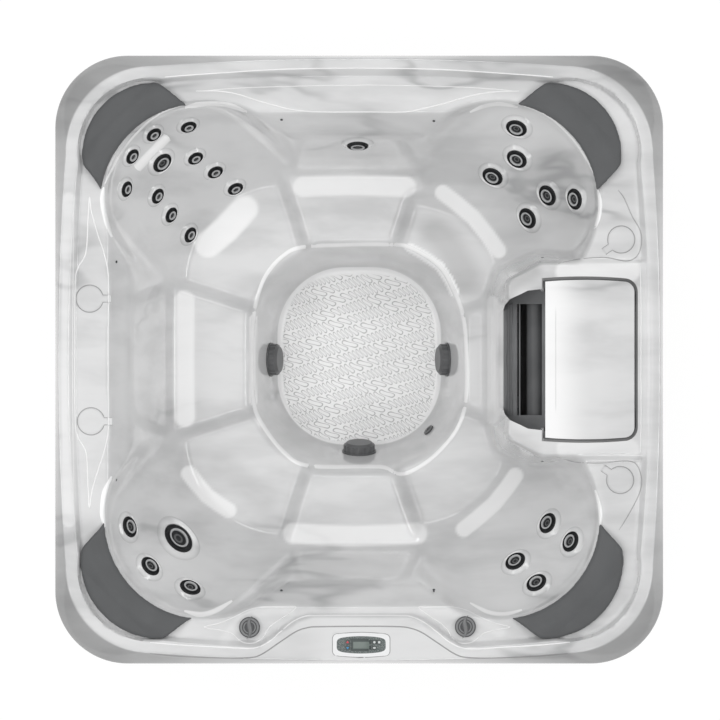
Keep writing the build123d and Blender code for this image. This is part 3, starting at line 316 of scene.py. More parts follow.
def makeFinishes():
    made = {
        "acrylic": makeAcrylic(),
        "fitting_plastic": makePlain("whitePipe", (0.72, 0.72, 0.7), 0.42),
        "lens": makePlain("smokedLens", (0.05, 0.052, 0.056), 0.12, coat=0.6),
        "dark_plastic": makePlain("greyMoulding", (0.105, 0.107, 0.11), 0.38, grain=420, depth=0.0001,
                                  coat=0.1),
        "filter_fabric": makePlain("filterPaper", (0.8, 0.82, 0.84), 0.85, grain=700, depth=0.0003),
        "panel_plastic": makePanelFinish(),
        "lid": makeLidFinish(),
        "housing": makePlain("housingMoulding", (0.165, 0.168, 0.172), 0.42, grain=420, depth=0.0001),
        "weir": makePlain("weirFloat", (0.075, 0.077, 0.08), 0.4, grain=420, depth=0.0001),
        "display_glass": makePlain("bareDisplay", (0.15, 0.18, 0.166), 0.12, coat=0.3),
        "display_frame": makePlain("displayFrame", (0.045, 0.058, 0.056), 0.3, coat=0.3),
        "key_cap": makePlain("keyCap", (0.075, 0.09, 0.087), 0.4),
        "mark_red": makePlain("redMark", (0.62, 0.07, 0.1), 0.4),
        "mark_blue": makePlain("blueMark", (0.06, 0.26, 0.5), 0.4),
        "mark_white": makePlain("whiteMark", (0.6, 0.62, 0.62), 0.4),
        "cabinet_board": makeBoards(),
        "cabinet_post": makePlain("postMoulding", (0.045, 0.045, 0.046), 0.45, grain=300, depth=0.0003),
        "screw_steel": makePlain("screwSteel", (0.5, 0.5, 0.5), 0.35, metal=1.0),
        "base_plastic": makePlain("baseMoulding", (0.03, 0.03, 0.031), 0.6, grain=200, depth=0.0004),
        "frame_steel": makePlain("galvanised", (0.5, 0.51, 0.52), 0.45, grain=60, depth=0.0001, metal=1.0),
        "pump_plastic": makePlain("pumpMoulding", (0.04, 0.04, 0.045), 0.45, grain=260, depth=0.0003),
        "rotor_steel": makePlain("rotorSteel", (0.45, 0.45, 0.46), 0.35, metal=1.0, stretch=(8, 1, 1)),
        "heater_steel": makePlain("heaterSteel", (0.6, 0.6, 0.6), 0.28, metal=1.0, stretch=(8, 1, 1)),
        "head_rest_foam": makePlain("headRestSkin", (0.088, 0.091, 0.094), 0.55, grain=900, depth=0.00025,
                                    spread=0.05, sheen=0.12),
        "jet_plastic": makePlain("jetBlack", (0.03, 0.031, 0.032), 0.25, coat=0.4),
        "key_plastic": makePlain("keyBody", (0.1, 0.11, 0.11), 0.35),
    }
    return made


# Modelling helpers

def deselectAll():
    if bpy.context.object and bpy.context.object.mode != "OBJECT":
        bpy.ops.object.mode_set(mode="OBJECT")
    bpy.ops.object.select_all(action="DESELECT")


def activate(piece):
    deselectAll()
    piece.select_set(True)
    bpy.context.view_layer.objects.active = piece


def applyAll(piece):
    activate(piece)
    for modifier in list(piece.modifiers):
        bpy.ops.object.modifier_apply(modifier=modifier.name)


def copyOf(node, name):
    piece = bpy.data.objects.new(name, nodes[node].data.copy())
    bpy.context.scene.collection.objects.link(piece)
    activate(piece)
    bpy.ops.object.mode_set(mode="EDIT")
    bpy.ops.mesh.select_all(action="SELECT")
    bpy.ops.mesh.remove_doubles(threshold=0.00001)
    bpy.ops.mesh.customdata_custom_splitnormals_clear()
    bpy.ops.object.mode_set(mode="OBJECT")
    return piece


def meshPiece(name, points, edges, faces):
    data = bpy.data.meshes.new(name)
    data.from_pydata(points, edges, faces)
    piece = bpy.data.objects.new(name, data)
    bpy.context.scene.collection.objects.link(piece)
    return piece


def outward(piece):
    bpy.ops.object.mode_set(mode="EDIT")
    bpy.ops.mesh.select_all(action="SELECT")
    bpy.ops.mesh.normals_make_consistent(inside=False)
    bpy.ops.object.mode_set(mode="OBJECT")
    return piece


def mark(piece, name, values):  # one value for each point of the piece, which its finish reads
    rows = piece.data.attributes.new(name, "FLOAT", "POINT").data
    for row, value in zip(rows, values):
        row.value = value


def modify(piece, kind, **settings):
    modifier = piece.modifiers.new(kind.lower(), kind)
    for key, value in settings.items():
        setattr(modifier, key, value)
    return modifier


def surfaceTree(piece):
    mesh = piece.data
    return BVHTree.FromPolygons([v.co for v in mesh.vertices], [p.vertices for p in mesh.polygons])


def dress(piece, finish, body, replaced=(), slot=None, angle=35):
    piece.data.materials.clear()
    piece.data.materials.append(finish)
    activate(piece)
    if angle:
        bpy.ops.object.shade_smooth_by_angle(angle=math.radians(angle))
    else:
        bpy.ops.object.shade_smooth()
    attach(piece, body)
    if replaced:
        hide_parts(*replaced)
    return piece


# Acrylic shell

shell = {
    "cells": 300, "span": 2.13, "drop": 1.3,
    "bandShares": (0.9906, 0.9624, 0.6714, 0.878), "cornerRadius": 0.254,
    "top": 0.91, "pad": 0.9, "deck": 0.88, "smooth": 7,
    "lidX": (0.612, 0.905), "lidHalf": 0.2565, "lidGap": 0.012, "lidRound": 0.036,
    "ledge": 0.877, "ledgeWidth": 0.011,
    "mouthHalf": 0.234, "mouthHigh": (0.6518, 0.852), "mouthLow": (0.5059, 0.698),
    "seatRadius": 0.3525, "bore": (0.52, 0.006),
    "steps": ((0.958, 0.925, 0.648, 0.856), (0.931, 0.912, 0.642, 0.85)),
    "cups": ((-0.8865, 0.2005, 0), (-0.8822, -0.203, 0), (0.8618, 0.395, 215), (0.8582, -0.396, 145)),
    "cupRadius": 0.048, "channel": 0.013, "channelEnd": 0.074, "cupDepth": 0.0045,
    "wellSmooth": 26, "wellTop": 0.845, "rimCalm": 0.3, "kept": 112,
    "mouthCorner": ((0.5059, 0.1737), (0.5107, 0.1913), (0.528, 0.212), (0.563, 0.228), (0.591, 0.2417),
                    (0.6398, 0.2475)),
    "knobs": ((-0.3608, -0.8806), (0.349, -0.8786)),
    "holes": (((-0.3128, 0.0, 0.175), (0.9642, 0.0, 0.2653), 0.034),
              ((0.3109, 0.0, 0.175), (-0.9756, 0.0, 0.2194), 0.034),
              ((0.0, -0.3248, 0.175), (0.0, 0.9649, 0.2626), 0.034),
              ((0.2471, -0.2503, 0.1989), (-0.6936, 0.6496, 0.3113), 0.016)),
    "panelX": 0.0066, "panelY": -0.938, "panelSize": (0.198, 0.084), "panelBow": 0.005, "panelRound": 0.016,
    "rimFrom": 0.8, "cornerFrom": 0.69, "bayFrom": (0.48, 0.32), "ledgeFrom": 0.6398, "mouthReach": 0.0065,
    "panelFrom": (-0.9, 0.15), "knobReach": 0.03, "cupReach": 0.11, "cupBand": (0.012, 0.001),
    "lip": ((0.06, 0.9088, 0), (0.14, 0.9055, 0), (0.94, 0.857, 0), (1.0, 0.850, 0), (1.0, 0.838, 0),
            (1.0, 0.835, 0.002), (1.0, 0.835, 0.010), (1.0, 0.862, 0.012)),
}


def arcPoints(centre, radius, start, end, count):
    steps = [start + (end - start) * i / count for i in range(count + 1)]
    return [(centre[0] + radius * math.cos(math.radians(a)), centre[1] + radius * math.sin(math.radians(a)))
            for a in steps]


def threePointArc(a, b, c, count=24):
    a, b, c = Vector(a), Vector(b), Vector(c)
    d = 2 * (a.x * (b.y - c.y) + b.x * (c.y - a.y) + c.x * (a.y - b.y))
    aa, bb, cc = a.length_squared, b.length_squared, c.length_squared
    ux = (aa * (b.y - c.y) + bb * (c.y - a.y) + cc * (a.y - b.y)) / d
    uy = (aa * (c.x - b.x) + bb * (a.x - c.x) + cc * (b.x - a.x)) / d
    centre = Vector((ux, uy))
    start = math.atan2(a.y - uy, a.x - ux)
    sweep = [math.atan2((a - centre).cross(p - centre), (a - centre).dot(p - centre)) for p in (b, c)]
    total = sweep[1]
    if sweep[0] * total < 0:
        total -= math.copysign(2 * math.pi, total)
    radius = (a - centre).length
    angles = [start + total * i / count for i in range(count + 1)]
    return [(ux + radius * math.cos(angle), uy + radius * math.sin(angle)) for angle in angles]


def bandOutline(shares=None):
    mid, end, span, corner = [share * half for share in shares or shell["bandShares"]]
    points = []
    for quarter in range(4):
        side = threePointArc((-span, end), (0, mid), (span, end), 40) + \
            threePointArc((span, end), (corner, corner), (end, span), 24)[1:-1]
        turn = Matrix.Rotation(math.radians(-90 * quarter), 2)
        points += [tuple(turn @ Vector(p)) for p in side]
    return points


def outerPoint(direction):  # where the tub's rounded square outline lies in a direction
    radius = shell["cornerRadius"]
    straight = half - radius
    direction = direction.normalized()
    dx, dy = abs(direction.x), abs(direction.y)
    reach = half / max(dx, dy)
    if min(dx, dy) * reach > straight:  # meets the round corner
        b = straight * (dx + dy)
        reach = b + math.sqrt(max(0, b * b - 2 * straight * straight + radius * radius))
    return Vector((direction.x * reach, direction.y * reach))


def bayOutline():
    front, back = shell["lidX"][0] * half - shell["lidGap"], shell["lidX"][1] * half + shell["lidGap"]
    side = shell["lidHalf"] * half + shell["lidGap"]
    radius = shell["lidRound"] + shell["lidGap"]
    upper = list(shell["mouthCorner"]) + [(front, side)]
    upper += threePointArc((front, side), ((front + back) / 2, side + 0.006), (back - radius, side))[1:]
    upper += arcPoints((back - radius, side - radius), radius, 90, 0, 8)[1:]
    lower = [(x, -y) for x, y in reversed(upper)]
    return upper + lower


def panelOutline():
    x, y = shell["panelX"] * half, shell["panelY"] * half
    length, width = shell["panelSize"][0] / 2, shell["panelSize"][1] / 2 - shell["panelBow"]
    r, ease = shell["panelRound"], 0.0008
    top = width + shell["panelBow"]
    points = threePointArc((-length + r, width + ease), (0, top), (length - r, width + ease))
    points += arcPoints((length - r, width - r), r, 85, 0, 6)
    lower = [(px, -py) for px, py in reversed(points)]
    left = arcPoints((-length + r, -width + r), r, 265, 180, 6)
    left += arcPoints((-length + r, width - r), r, 180, 95, 6)
    ring = points + lower[:-1] + left
    return [(x + px, y + py) for px, py in ring]


def plan(px, py):  # a point of the plan, read off the picture
    return Vector(((px - 359.2) * pixel, (359.6 - py) * pixel))


def sideReach(shares, along):
    mid, end, span = [share * half for share in shares[:3]]
    radius = (span * span + (mid - end) ** 2) / (2 * (mid - end))
    return mid - radius + math.sqrt(radius * radius - min(abs(along), span) ** 2)


def align(mesh):  # bows the rows of the grid, so that they run along the edges of the band and the deck
    cell = shell["span"] / shell["cells"]
    edges = [shell["steps"][1], shell["steps"][0], shell["bandShares"]]
    rows = [shell["kept"]] + [round(sideReach(shares, 0) / cell) for shares in edges] + [shell["cells"] // 2]

    def moved(u, along):
        row = abs(u) / cell
        if row <= rows[0]:
            return u
        places = [rows[0] * cell] + [sideReach(shares, along) for shares in edges]
        places.append(places[-1] + cell)
        k = min(len(rows) - 2, bisect.bisect_left(rows, row - 0.0001) - 1)
        share = (row - rows[k]) / (rows[k + 1] - rows[k])
        return math.copysign(places[k] + (places[k + 1] - places[k]) * share, u)

    for v in mesh.verts:
        v.co.x, v.co.y = moved(v.co.x, v.co.y), moved(v.co.y, v.co.x)


def rayTable(shares, count=1440):  # reach of a bowed outline from the middle, by direction
    outline = [Vector(p) for p in bandOutline(shares)]
    spots = sorted((math.atan2(p.y, p.x), p.length) for p in outline)
    spots = [(spots[-1][0] - 2 * math.pi, spots[-1][1])] + spots + [(spots[0][0] + 2 * math.pi, spots[0][1])]
    table, k = [], 0
    for i in range(count):
        angle = -math.pi + 2 * math.pi * i / count
        while spots[k + 1][0] < angle:
            k += 1
        share = (angle - spots[k][0]) / max(spots[k + 1][0] - spots[k][0], 1e-9)
        table.append(spots[k][1] + (spots[k + 1][1] - spots[k][1]) * share)
    return table


def snap(mesh, shares, reach=0.0037):  # seats the nearest points of the grid on an outline, at the corners
    table = rayTable(shares)
    for v in mesh.verts:
        p = v.co.xy
        if max(abs(p.x), abs(p.y)) > shell["rimFrom"] and min(abs(p.x), abs(p.y)) > shell["cornerFrom"]:
            place = (math.atan2(p.y, p.x) + math.pi) / (2 * math.pi) * len(table)
            low = int(place) % len(table)
            wanted = table[low] + (table[(low + 1) % len(table)] - table[low]) * (place - int(place))
            if abs(p.length - wanted) < reach * p.length / max(abs(p.x), abs(p.y)):
                v.co.x, v.co.y = p * (wanted / p.length)


def curve(points, closed=False, count=6):  # smooth line through the points
    ends = [plan(*p) for p in points]
    size = len(ends)
    line = []
    for i in range(size if closed else size - 1):
        near = (i - 1, i, i + 1, i + 2)
        a, b, c, d = [ends[k % size if closed else max(0, min(size - 1, k))] for k in near]
        for step in range(count):
            t = step / count
            line.append(0.5 * (2 * b + (c - a) * t + (2 * a - 5 * b + 4 * c - d) * t * t +
                               (3 * b - a - 3 * c + d) * t * t * t))
    return line if closed else line + [ends[-1]]


def cupOutline(x, y, turn):
    r, w, end = shell["cupRadius"], shell["channel"], shell["channelEnd"]
    start = math.degrees(math.asin(w / r))
    ring = arcPoints((0, 0), r, start, 360 - start, 44)
    points = [(end, -w), (end, w)]
    spin = Matrix.Rotation(math.radians(turn), 2)
    return [tuple(spin @ Vector(p) + Vector((x * half, y * half))) for p in ring + points]


def inside(point, outline):
    x, y = point
    found = False
    for (x0, y0), (x1, y1) in zip(outline, outline[1:] + outline[:1]):
        if (y0 > y) != (y1 > y) and x < x0 + (y - y0) * (x1 - x0) / (y1 - y0):
            found = not found
    return found


def nearestOnLine(p, line):
    best = None
    for a, b in zip(line, line[1:]):
        along = b - a
        q = a + along * max(0, min(1, (p - a).dot(along) / max(along.length_squared, 1e-12)))
        if best is None or (q - p).length_squared < (best - p).length_squared:
            best = q
    return best


def nearestOn(point, outline):
    return nearestOnLine(Vector(point), [Vector(q) for q in list(outline) + outline[:1]])


def trim(mesh, outline, keepInside, margin=0.02):  # cuts the sheet along an outline and seats its edge on it
    xs, ys = [p[0] for p in outline], [p[1] for p in outline]
    low, high = (min(xs) - margin, min(ys) - margin), (max(xs) + margin, max(ys) + margin)

    def near(p):
        return low[0] < p.x < high[0] and low[1] < p.y < high[1]

    def within(face):
        middle = face.calc_center_median()
        return near(middle) and inside(middle.xy, outline)

    doomed = [f for f in mesh.faces if within(f) != keepInside]
    bmesh.ops.delete(mesh, geom=doomed, context="FACES")
    ring = []
    for v in mesh.verts:
        if v.is_boundary and near(v.co):
            q = nearestOn(v.co.xy, outline)
            if (q - v.co.xy).length < margin:
                v.co.x, v.co.y = q
                ring.append(v)
    for corner in outline:
        c = Vector(corner)
        close = min(ring, key=lambda v: (v.co.xy - c).length_squared)
        if (close.co.xy - c).length < 0.004:
            close.co.x, close.co.y = c
    return ring


def fittingPlanes():  # place, axis and hole radius of everything that passes through the shell's walls
    found = []
    for name, joint in joints.items():
        if "_jet_" in name:
            kind = name[:name.index("_")]
            radius = jetForms[kind]["radius"]
            rise = 0 if kind == "large" else radius * radius / shell["seatRadius"] / 2
            axis = Vector(joint["axis"])
            bore = radius * shell["bore"][0] + shell["bore"][1]
            found.append((Vector(joint["pos_m"]) - axis * rise, axis, bore))
    for place, axis, radius in shell["holes"]:
        found.append((Vector(place), Vector(axis), radius))
    return found


def drape(mesh):  # lays the grid on the CAD shell, over its holes
    shape = copyOf("shell", "form")
    tree = surfaceTree(shape)
    bpy.data.objects.remove(shape)
    fittings = fittingPlanes()
    band, bay, panel = bandOutline(), bayOutline(), panelOutline()
    s = shell
    side = s["mouthHalf"] * half + s["mouthReach"]

    def level(p):
        hit = tree.ray_cast(Vector((p.x, p.y, s["drop"])), Vector((0, 0, -1)))[0]
        if not hit and p.x > 0.5 and abs(p.y) < side:  # corner of the mouth, filled from beside it
            return level(Vector((p.x, math.copysign(side, p.y))))
        return hit.z if hit else 0

    def isNear(p, places, reach):
        return any((p - Vector((spot[0] * half, spot[1] * half))).length < reach for spot in places)

    cupLow, cupHigh = s["deck"] - s["cupBand"][0], s["deck"] + s["cupBand"][1]
    for v in mesh.verts:
        p = v.co.xy
        v.co.z = level(p)
        if max(abs(p.x), abs(p.y)) > s["rimFrom"] and not inside(p, band):
            v.co.z = s["top"]
        elif p.x > s["bayFrom"][0] and abs(p.y) < s["bayFrom"][1] and inside(p, bay):
            edge = nearestOn(p, bay)
            v.co.z = s["pad"] if p.x > s["ledgeFrom"] else level(edge + (edge - p).normalized() * 0.006)
        elif p.y < s["panelFrom"][0] and abs(p.x) < s["panelFrom"][1] and inside(p, panel):
            v.co.z = s["top"]
        elif isNear(p, s["knobs"], s["knobReach"]):
            v.co.z = s["deck"]
        elif cupLow < v.co.z < cupHigh and isNear(p, s["cups"], s["cupReach"]):
            v.co.z = s["deck"]
        else:
            for place, axis, radius in fittings:
                away = p - place.xy
                if away.length < radius * 1.2:
                    z = place.z - (axis.x * away.x + axis.y * away.y) / axis.z
                    span = (Vector((p.x, p.y, z)) - place).length
                    if span < radius:
                        v.co.z = z


softening = {"depth": 0.05, "jets": 1.6, "calmFrom": 0.945}


def soften(piece):  # rounds the formed edges, more inside the well, and keeps the plan
    deep = piece.vertex_groups.new(name="deep")
    keep = [(place, radius * softening["jets"]) for place, _, radius in fittingPlanes()]
    for v in piece.data.vertices:
        share = min(1, max(0, (shell["wellTop"] - v.co.z) / softening["depth"]))
        if share > 0 and all((v.co - place).length >= reach for place, reach in keep):
            deep.add([v.index], share, "REPLACE")
    most = piece.vertex_groups.new(name="most")
    for v in piece.data.vertices:
        outer = max(abs(v.co.x), abs(v.co.y)) > softening["calmFrom"]
        most.add([v.index], shell["rimCalm"] if outer else 1.0, "REPLACE")
    for group, count in (("most", shell["smooth"]), ("deep", shell["wellSmooth"])):
        smooth = modify(piece, "SMOOTH", factor=0.5, iterations=count, use_x=False, use_y=False)
        smooth.vertex_group = group
    applyAll(piece)


paintedLightStrokes = [  # painted highlights and painted shade over the acrylic: line in the picture, width in pixels, strength (above zero a painted highlight, below zero painted shade)
    (((303, 186), (350, 184), (406, 186)), 20, 0.75), (((184, 300), (183, 358), (184, 417)), 20, 0.7),
    (((293, 534), (354, 537), (417, 534)), 20, 0.75), (((207, 244), (226, 228), (244, 208)), 26, 0.8),
    (((443, 192), (474, 217), (499, 250)), 15, 0.95), (((188, 474), (206, 496), (228, 511)), 15, 0.8),
    (((464, 530), (495, 504), (516, 476)), 15, 0.75), (((493, 300), (492, 360), (493, 420)), 8, 0.7),
    (((410, 247), (440, 266), (455, 292)), 9, 0.9), (((253, 318), (251.5, 360), (253, 402)), 7, 0.9),
    (((568, 272), (628, 270)), 24, 0.5), (((568, 449), (628, 450)), 22, 0.35),
    (((504, 296), (514, 282), (532, 270)), 24, -0.28), (((504, 424), (514, 438), (532, 452)), 22, -0.15),
    (((546, 165), (566, 188), (574, 218)), 60, -0.14), (((436, 232), (450, 246), (466, 276)), 40, -0.27),
    (((222, 466), (246, 486), (262, 500)), 34, -0.14), (((130, 225), (165, 235), (205, 285)), 70, 0.22),
    (((139, 280), (139, 440)), 44, 0.14), (((280, 580), (430, 580)), 36, 0.1),
    (((69, 200), (69, 520)), 14, 0.35),
    (((225, 640), (250, 613), (290, 610)), 14, 0.2), (((425, 610), (470, 614), (500, 632)), 14, 0.2),
]


# falloff of the painted strokes, and the painted shade on the outer slope, darker at its corners, and in the
# bay's ledge
paintedLightSettings = {
    "edge": 0.62, "crisp": 0.2, "soft": 0.5, "crispWidth": 30, "crispFrom": 0.3,
    "slope": -0.18, "cornerSlope": -0.3, "corner": (0.5, 0.35),
    "ledge": -0.6, "ledgeBox": (0.64, 0.31, 0.87, 0.015),
}


def paintLightAndShade(piece, band):  # lays the strokes of painted highlight and painted shade on the shell, and paints shade on the outer slope and in the bay's ledge
    f = paintedLightSettings
    x, y, low, under = f["ledgeBox"]
    lines = []
    for points, width, strength in paintedLightStrokes:
        line = curve(points, count=2)
        reach = width * pixel
        crisp = width < f["crispWidth"] and strength > f["crispFrom"]
        xs, ys = [p.x for p in line], [p.y for p in line]
        around = (min(xs) - reach, max(xs) + reach, min(ys) - reach, max(ys) + reach)
        lines.append((line, reach, f["crisp"] if crisp else f["soft"], strength, around))
    tones = []
    for v in piece.data.vertices:
        p = v.co.xy
        value = 0.0
        for line, reach, paintedLightFade, strength, (x0, x1, y0, y1) in lines:
            if x0 < p.x < x1 and y0 < p.y < y1:
                away = (nearestOnLine(p, line) - p).length / reach
                share = min(1, max(0, (f["edge"] - away) / paintedLightFade))
                more = strength * share * share * (3 - 2 * share)
                value = more if abs(more) > abs(value) else value
        # painted shade on the outer slope, darker towards the corners
        outer = max(abs(p.x), abs(p.y)) > shell["rimFrom"] and v.co.z < shell["top"] - 0.002
        if outer and not inside(p, band):
            corner = min(1, max(0, (min(abs(p.x), abs(p.y)) - f["corner"][0]) / f["corner"][1]))
            value = f["slope"] + f["cornerSlope"] * corner
        # painted shade in the bay's ledge
        if p.x > x and abs(p.y) < y and low < v.co.z < shell["pad"] - under:
            value = f["ledge"]
        tones.append(value)
    mark(piece, "tone", tones)


def ringDown(mesh, ring, places):  # draws an edge on through further rings, each a function of the last point
    loop = set(ring)
    for step in places:
        edges = [e for e in mesh.edges if e.is_boundary and e.verts[0] in loop and e.verts[1] in loop]
        made = bmesh.ops.extrude_edge_only(mesh, edges=edges)["geom"]
        loop = {g for g in made if isinstance(g, bmesh.types.BMVert)}
        for v in loop:
            v.co = step(v.co.copy())
    return loop


def makeShell():
    s = shell
    deselectAll()
    bpy.ops.mesh.primitive_grid_add(x_subdivisions=s["cells"], y_subdivisions=s["cells"], size=s["span"],
                                    location=(0, 0, 0))
    piece = bpy.context.object
    piece.name = "acrylic_shell"
    mesh = bmesh.new()
    mesh.from_mesh(piece.data)
    align(mesh)
    for shares in s["steps"]:
        snap(mesh, shares)
    drape(mesh)
    mesh.to_mesh(piece.data)
    mesh.free()
    soften(piece)
    mesh = bmesh.new()
    mesh.from_mesh(piece.data)
    rim = trim(mesh, bandOutline(), True)
    bay = trim(mesh, bayOutline(), False)
    panel = trim(mesh, panelOutline(), False, 0.009)
    cups = [trim(mesh, cupOutline(*cup), False) for cup in s["cups"]]

    start = {round(math.atan2(v.co.y, v.co.x), 4): v.co.xy.copy() for v in rim}
    keys = sorted(start)

    def nearestStart(angle):
        i = bisect.bisect_left(keys, angle)
        close = min((keys[k % len(keys)] for k in (i - 1, i)), key=lambda k: abs(k - angle))
        return start[close]

    def lip(share, level, inset):
        def step(p):
            angle = math.atan2(p.y, p.x)
            inner, outer = nearestStart(angle), outerPoint(p.xy)
            q = inner.lerp(outer, share)
            q = q * (1 - inset / q.length)
            return Vector((q.x, q.y, level))
        return step

    for v in rim:
        v.co.z = s["top"] - 0.0004
    ringDown(mesh, rim, [lip(*ring) for ring in s["lip"]])
    (x0, z0), (x1, z1) = s["mouthLow"], s["mouthHigh"]

    def bayBottom(p):
        slope = z0 + (p.x - x0) * (z1 - z0) / (x1 - x0)
        return slope - 0.006 if p.x < s["lidX"][0] * half - s["lidGap"] - 0.001 else s["ledge"]

    def bayRound(p):
        return Vector((p.x, p.y, p.z - 0.0015))

    middle = Vector(((s["lidX"][0] + s["lidX"][1]) * half / 2, 0))
    ringDown(mesh, bay, [bayRound, lambda p: Vector((p.x, p.y, bayBottom(p))),
                         lambda p: Vector((*(p.xy + (middle - p.xy).normalized() * s["ledgeWidth"]), p.z))])
    ringDown(mesh, panel, [lambda p: Vector((p.x, p.y, p.z - 0.0075))])
    for cup in cups:
        low = ringDown(mesh, cup, [lambda p: Vector((p.x, p.y, p.z - 0.0006)),
                                   lambda p: Vector((p.x, p.y, s["deck"] - s["cupDepth"]))])
        edges = [e for e in mesh.edges if e.is_boundary and e.verts[0] in low and e.verts[1] in low]
        bmesh.ops.triangle_fill(mesh, edges=edges, use_beauty=True)
    bmesh.ops.recalc_face_normals(mesh, faces=mesh.faces)
    up = max(mesh.faces, key=lambda f: f.calc_center_median().z - abs(f.calc_center_median().x))
    if up.normal.z < 0:
        bmesh.ops.reverse_faces(mesh, faces=mesh.faces)
    mesh.to_mesh(piece.data)
    mesh.free()
    paintLightAndShade(piece, bandOutline())
    dress(piece, finishes["acrylic"], "tub", ["shell"], "acrylic", angle=60)
    print("stage: shell,", len(piece.data.polygons), "faces")
    return piece


# Raised and sunk lines of the deck, with painted highlights and painted shade, and the bosses round the jets

def mirrored(points, twice):  # the same line on the other side of the tub
    return tuple((twice - x, y) for x, y in points)


lobeLine = ((105, 184), (109, 175), (117, 160), (129, 142), (145, 125), (162, 112.5), (180, 106))
beads = {  # line in the picture, whether it closes, width, height and tone (above zero a painted highlight, below zero painted shade)
    "left_shelf": (((89.4, 197), (91.5, 212), (97, 232), (103.6, 252), (108, 271), (108.5, 290),
        (108.5, 352), (108.5, 415), (108, 434), (103.6, 453), (97, 473), (91.5, 493), (89.4, 508),
        (88, 487), (86, 453), (78, 437), (75.4, 420), (75, 352), (75.4, 285), (78, 268), (86, 252),
        (88, 218)), True, 0.006, 0.0016, 0.75),
    "back_shelf": (((196, 91), (218, 91), (237, 94), (256, 100), (276, 105.5), (295, 110), (320, 112),
        (368, 112), (405, 112), (425, 108), (445, 103), (470, 96), (492, 92), (519, 91)), False, 0.006,
        0.0016, 0.7),
    "back_line": (((200, 91), (240, 88), (300, 86), (368, 85), (430, 86), (480, 88), (515, 91)), False,
        0.005, 0.0012, 0.55),
    "left_knob": (((204, 627), (220, 623), (236, 616), (248, 610), (262, 606.8), (280, 606.3), (296, 607),
        (285, 616), (273, 624), (267, 630), (263, 637), (255, 642.5), (245, 642.6), (238, 639),
        (232, 633.5), (220, 630)), True, 0.005, 0.0014, 0.55),
    "right_knob": (((510, 627), (494.8, 623), (478.8, 616), (466.8, 610), (452.8, 606.8), (434.8, 606.3),
        (418.8, 607), (429.8, 616), (441.8, 624), (447.8, 630), (451.8, 637), (459.8, 642.5),
        (469.8, 642.6), (476.8, 639), (482.8, 633.5), (494.8, 630)), True, 0.005, 0.0014, 0.55),
    "back_bay_edge": (((558, 263.5), (580, 259), (605, 257.6), (626, 261), (637, 256), (641.6, 243),
        (640, 230), (632, 216), (624, 198), (618, 190)), False, 0.0045, 0.0012, -0.5),
    "front_bay_edge": (((556, 457), (575, 462), (600, 463), (622, 461), (635, 463), (641, 475), (641, 488),
        (635, 503), (626, 519), (619, 530)), False, 0.0045, 0.0012, -0.5),
    "right_line": (((640, 256), (641, 300), (641, 360), (641, 420), (640, 462)), False, 0.005, 0.0014, 0.6),
    "lobe_1": (((103.8, 187), (102.6, 197), (103.4, 208), (106.5, 222), (112, 237)), False, 0.021, 0.002,
        1.0),
    "lobe_2": (((185, 107.5), (198, 104.6), (214, 103.8), (230, 105.5), (247, 112)), False, 0.021, 0.002,
        1.0),
    "lobe_3": (((470, 112), (485, 106), (500, 104), (518, 107)), False, 0.017, 0.002, 0.9),
    "lobe_4": (((598, 190), (600, 203), (599, 216), (594, 231)), False, 0.017, 0.002, 0.9),
    "lobe_5": (((184, 611), (200, 614.5), (215, 611), (232, 601)), False, 0.021, 0.002, 1.0),
    "lobe_6": (((104.5, 527), (102.5, 512), (104.5, 493), (112, 476)), False, 0.021, 0.002, 1.0),
    "lobe_7": (((470, 603), (488, 612), (505, 614), (522, 610)), False, 0.017, 0.002, 0.9),
    "lobe_8": (((600, 527), (600, 510), (595, 490)), False, 0.017, 0.002, 0.9),
    "lobe_9": (lobeLine, False, 0.009, 0.0016, 0.9),
    "lobe_10": (mirrored(lobeLine, 703.8), False, 0.009, 0.0016, 0.9),
    "well_rim": (((283, 255), (300, 247), (340, 244.5), (387, 244), (410, 247), (440, 266), (455, 292),
        (464, 318), (467, 360), (466, 402), (457, 430), (436, 455), (415, 470), (400, 474.5), (385, 468),
        (367, 467), (307, 466), (283, 452), (262, 425), (253, 402), (251.5, 360), (253, 318), (259, 290),
        (268, 271)), True, 0.017, 0.0012, 0.85),
    "neck_ledge": (((136, 169), (143.5, 161), (151.5, 152.8), (159.5, 144.6), (168, 136)), False, 0.036,
        0.005, 0.95),
    "platform_line": (((150, 653.5), (180, 656.3), (222, 658), (250, 657.5), (262, 654), (280, 642),
        (296, 631.5), (308, 627.5), (320, 626.6), (368, 626.2), (398, 626.6), (410, 628), (422, 632.5),
        (438, 643), (455, 654), (468, 657.5), (496, 658), (538, 656.3), (568, 653.5)), False, 0.006, 0.0008,
        -0.7),
    "ribbon_line": (((150, 642.4), (180, 644.8), (210, 646.6), (240, 648), (256, 647.4), (268, 642),
        (280, 632), (292, 622), (304, 616.4), (318, 615.4), (368, 615.2), (402, 615.4), (412, 616.6),
        (424, 622), (436, 631), (448, 641), (460, 647), (474, 648.8), (500, 647.4), (540, 645), (570, 642)),
        False, 0.006, 0.0014, 0.85),
    "left_inner": (((73.9, 199), (73.2, 300), (73, 360), (73.2, 420), (73.9, 500)), False, 0.005, 0.0014,
        0.7),
    "inner_rim": (((165, 77), (200, 74.4), (276, 69.6), (330, 68.4), (390, 68.4), (442, 69.6), (518, 74.4),
        (553, 77)), False, 0.006, 0.0016, 0.8),
}


stripShares = (-1.0, -0.72, -0.36, 0.0, 0.36, 0.72, 1.0)  # points over the width of a laid line


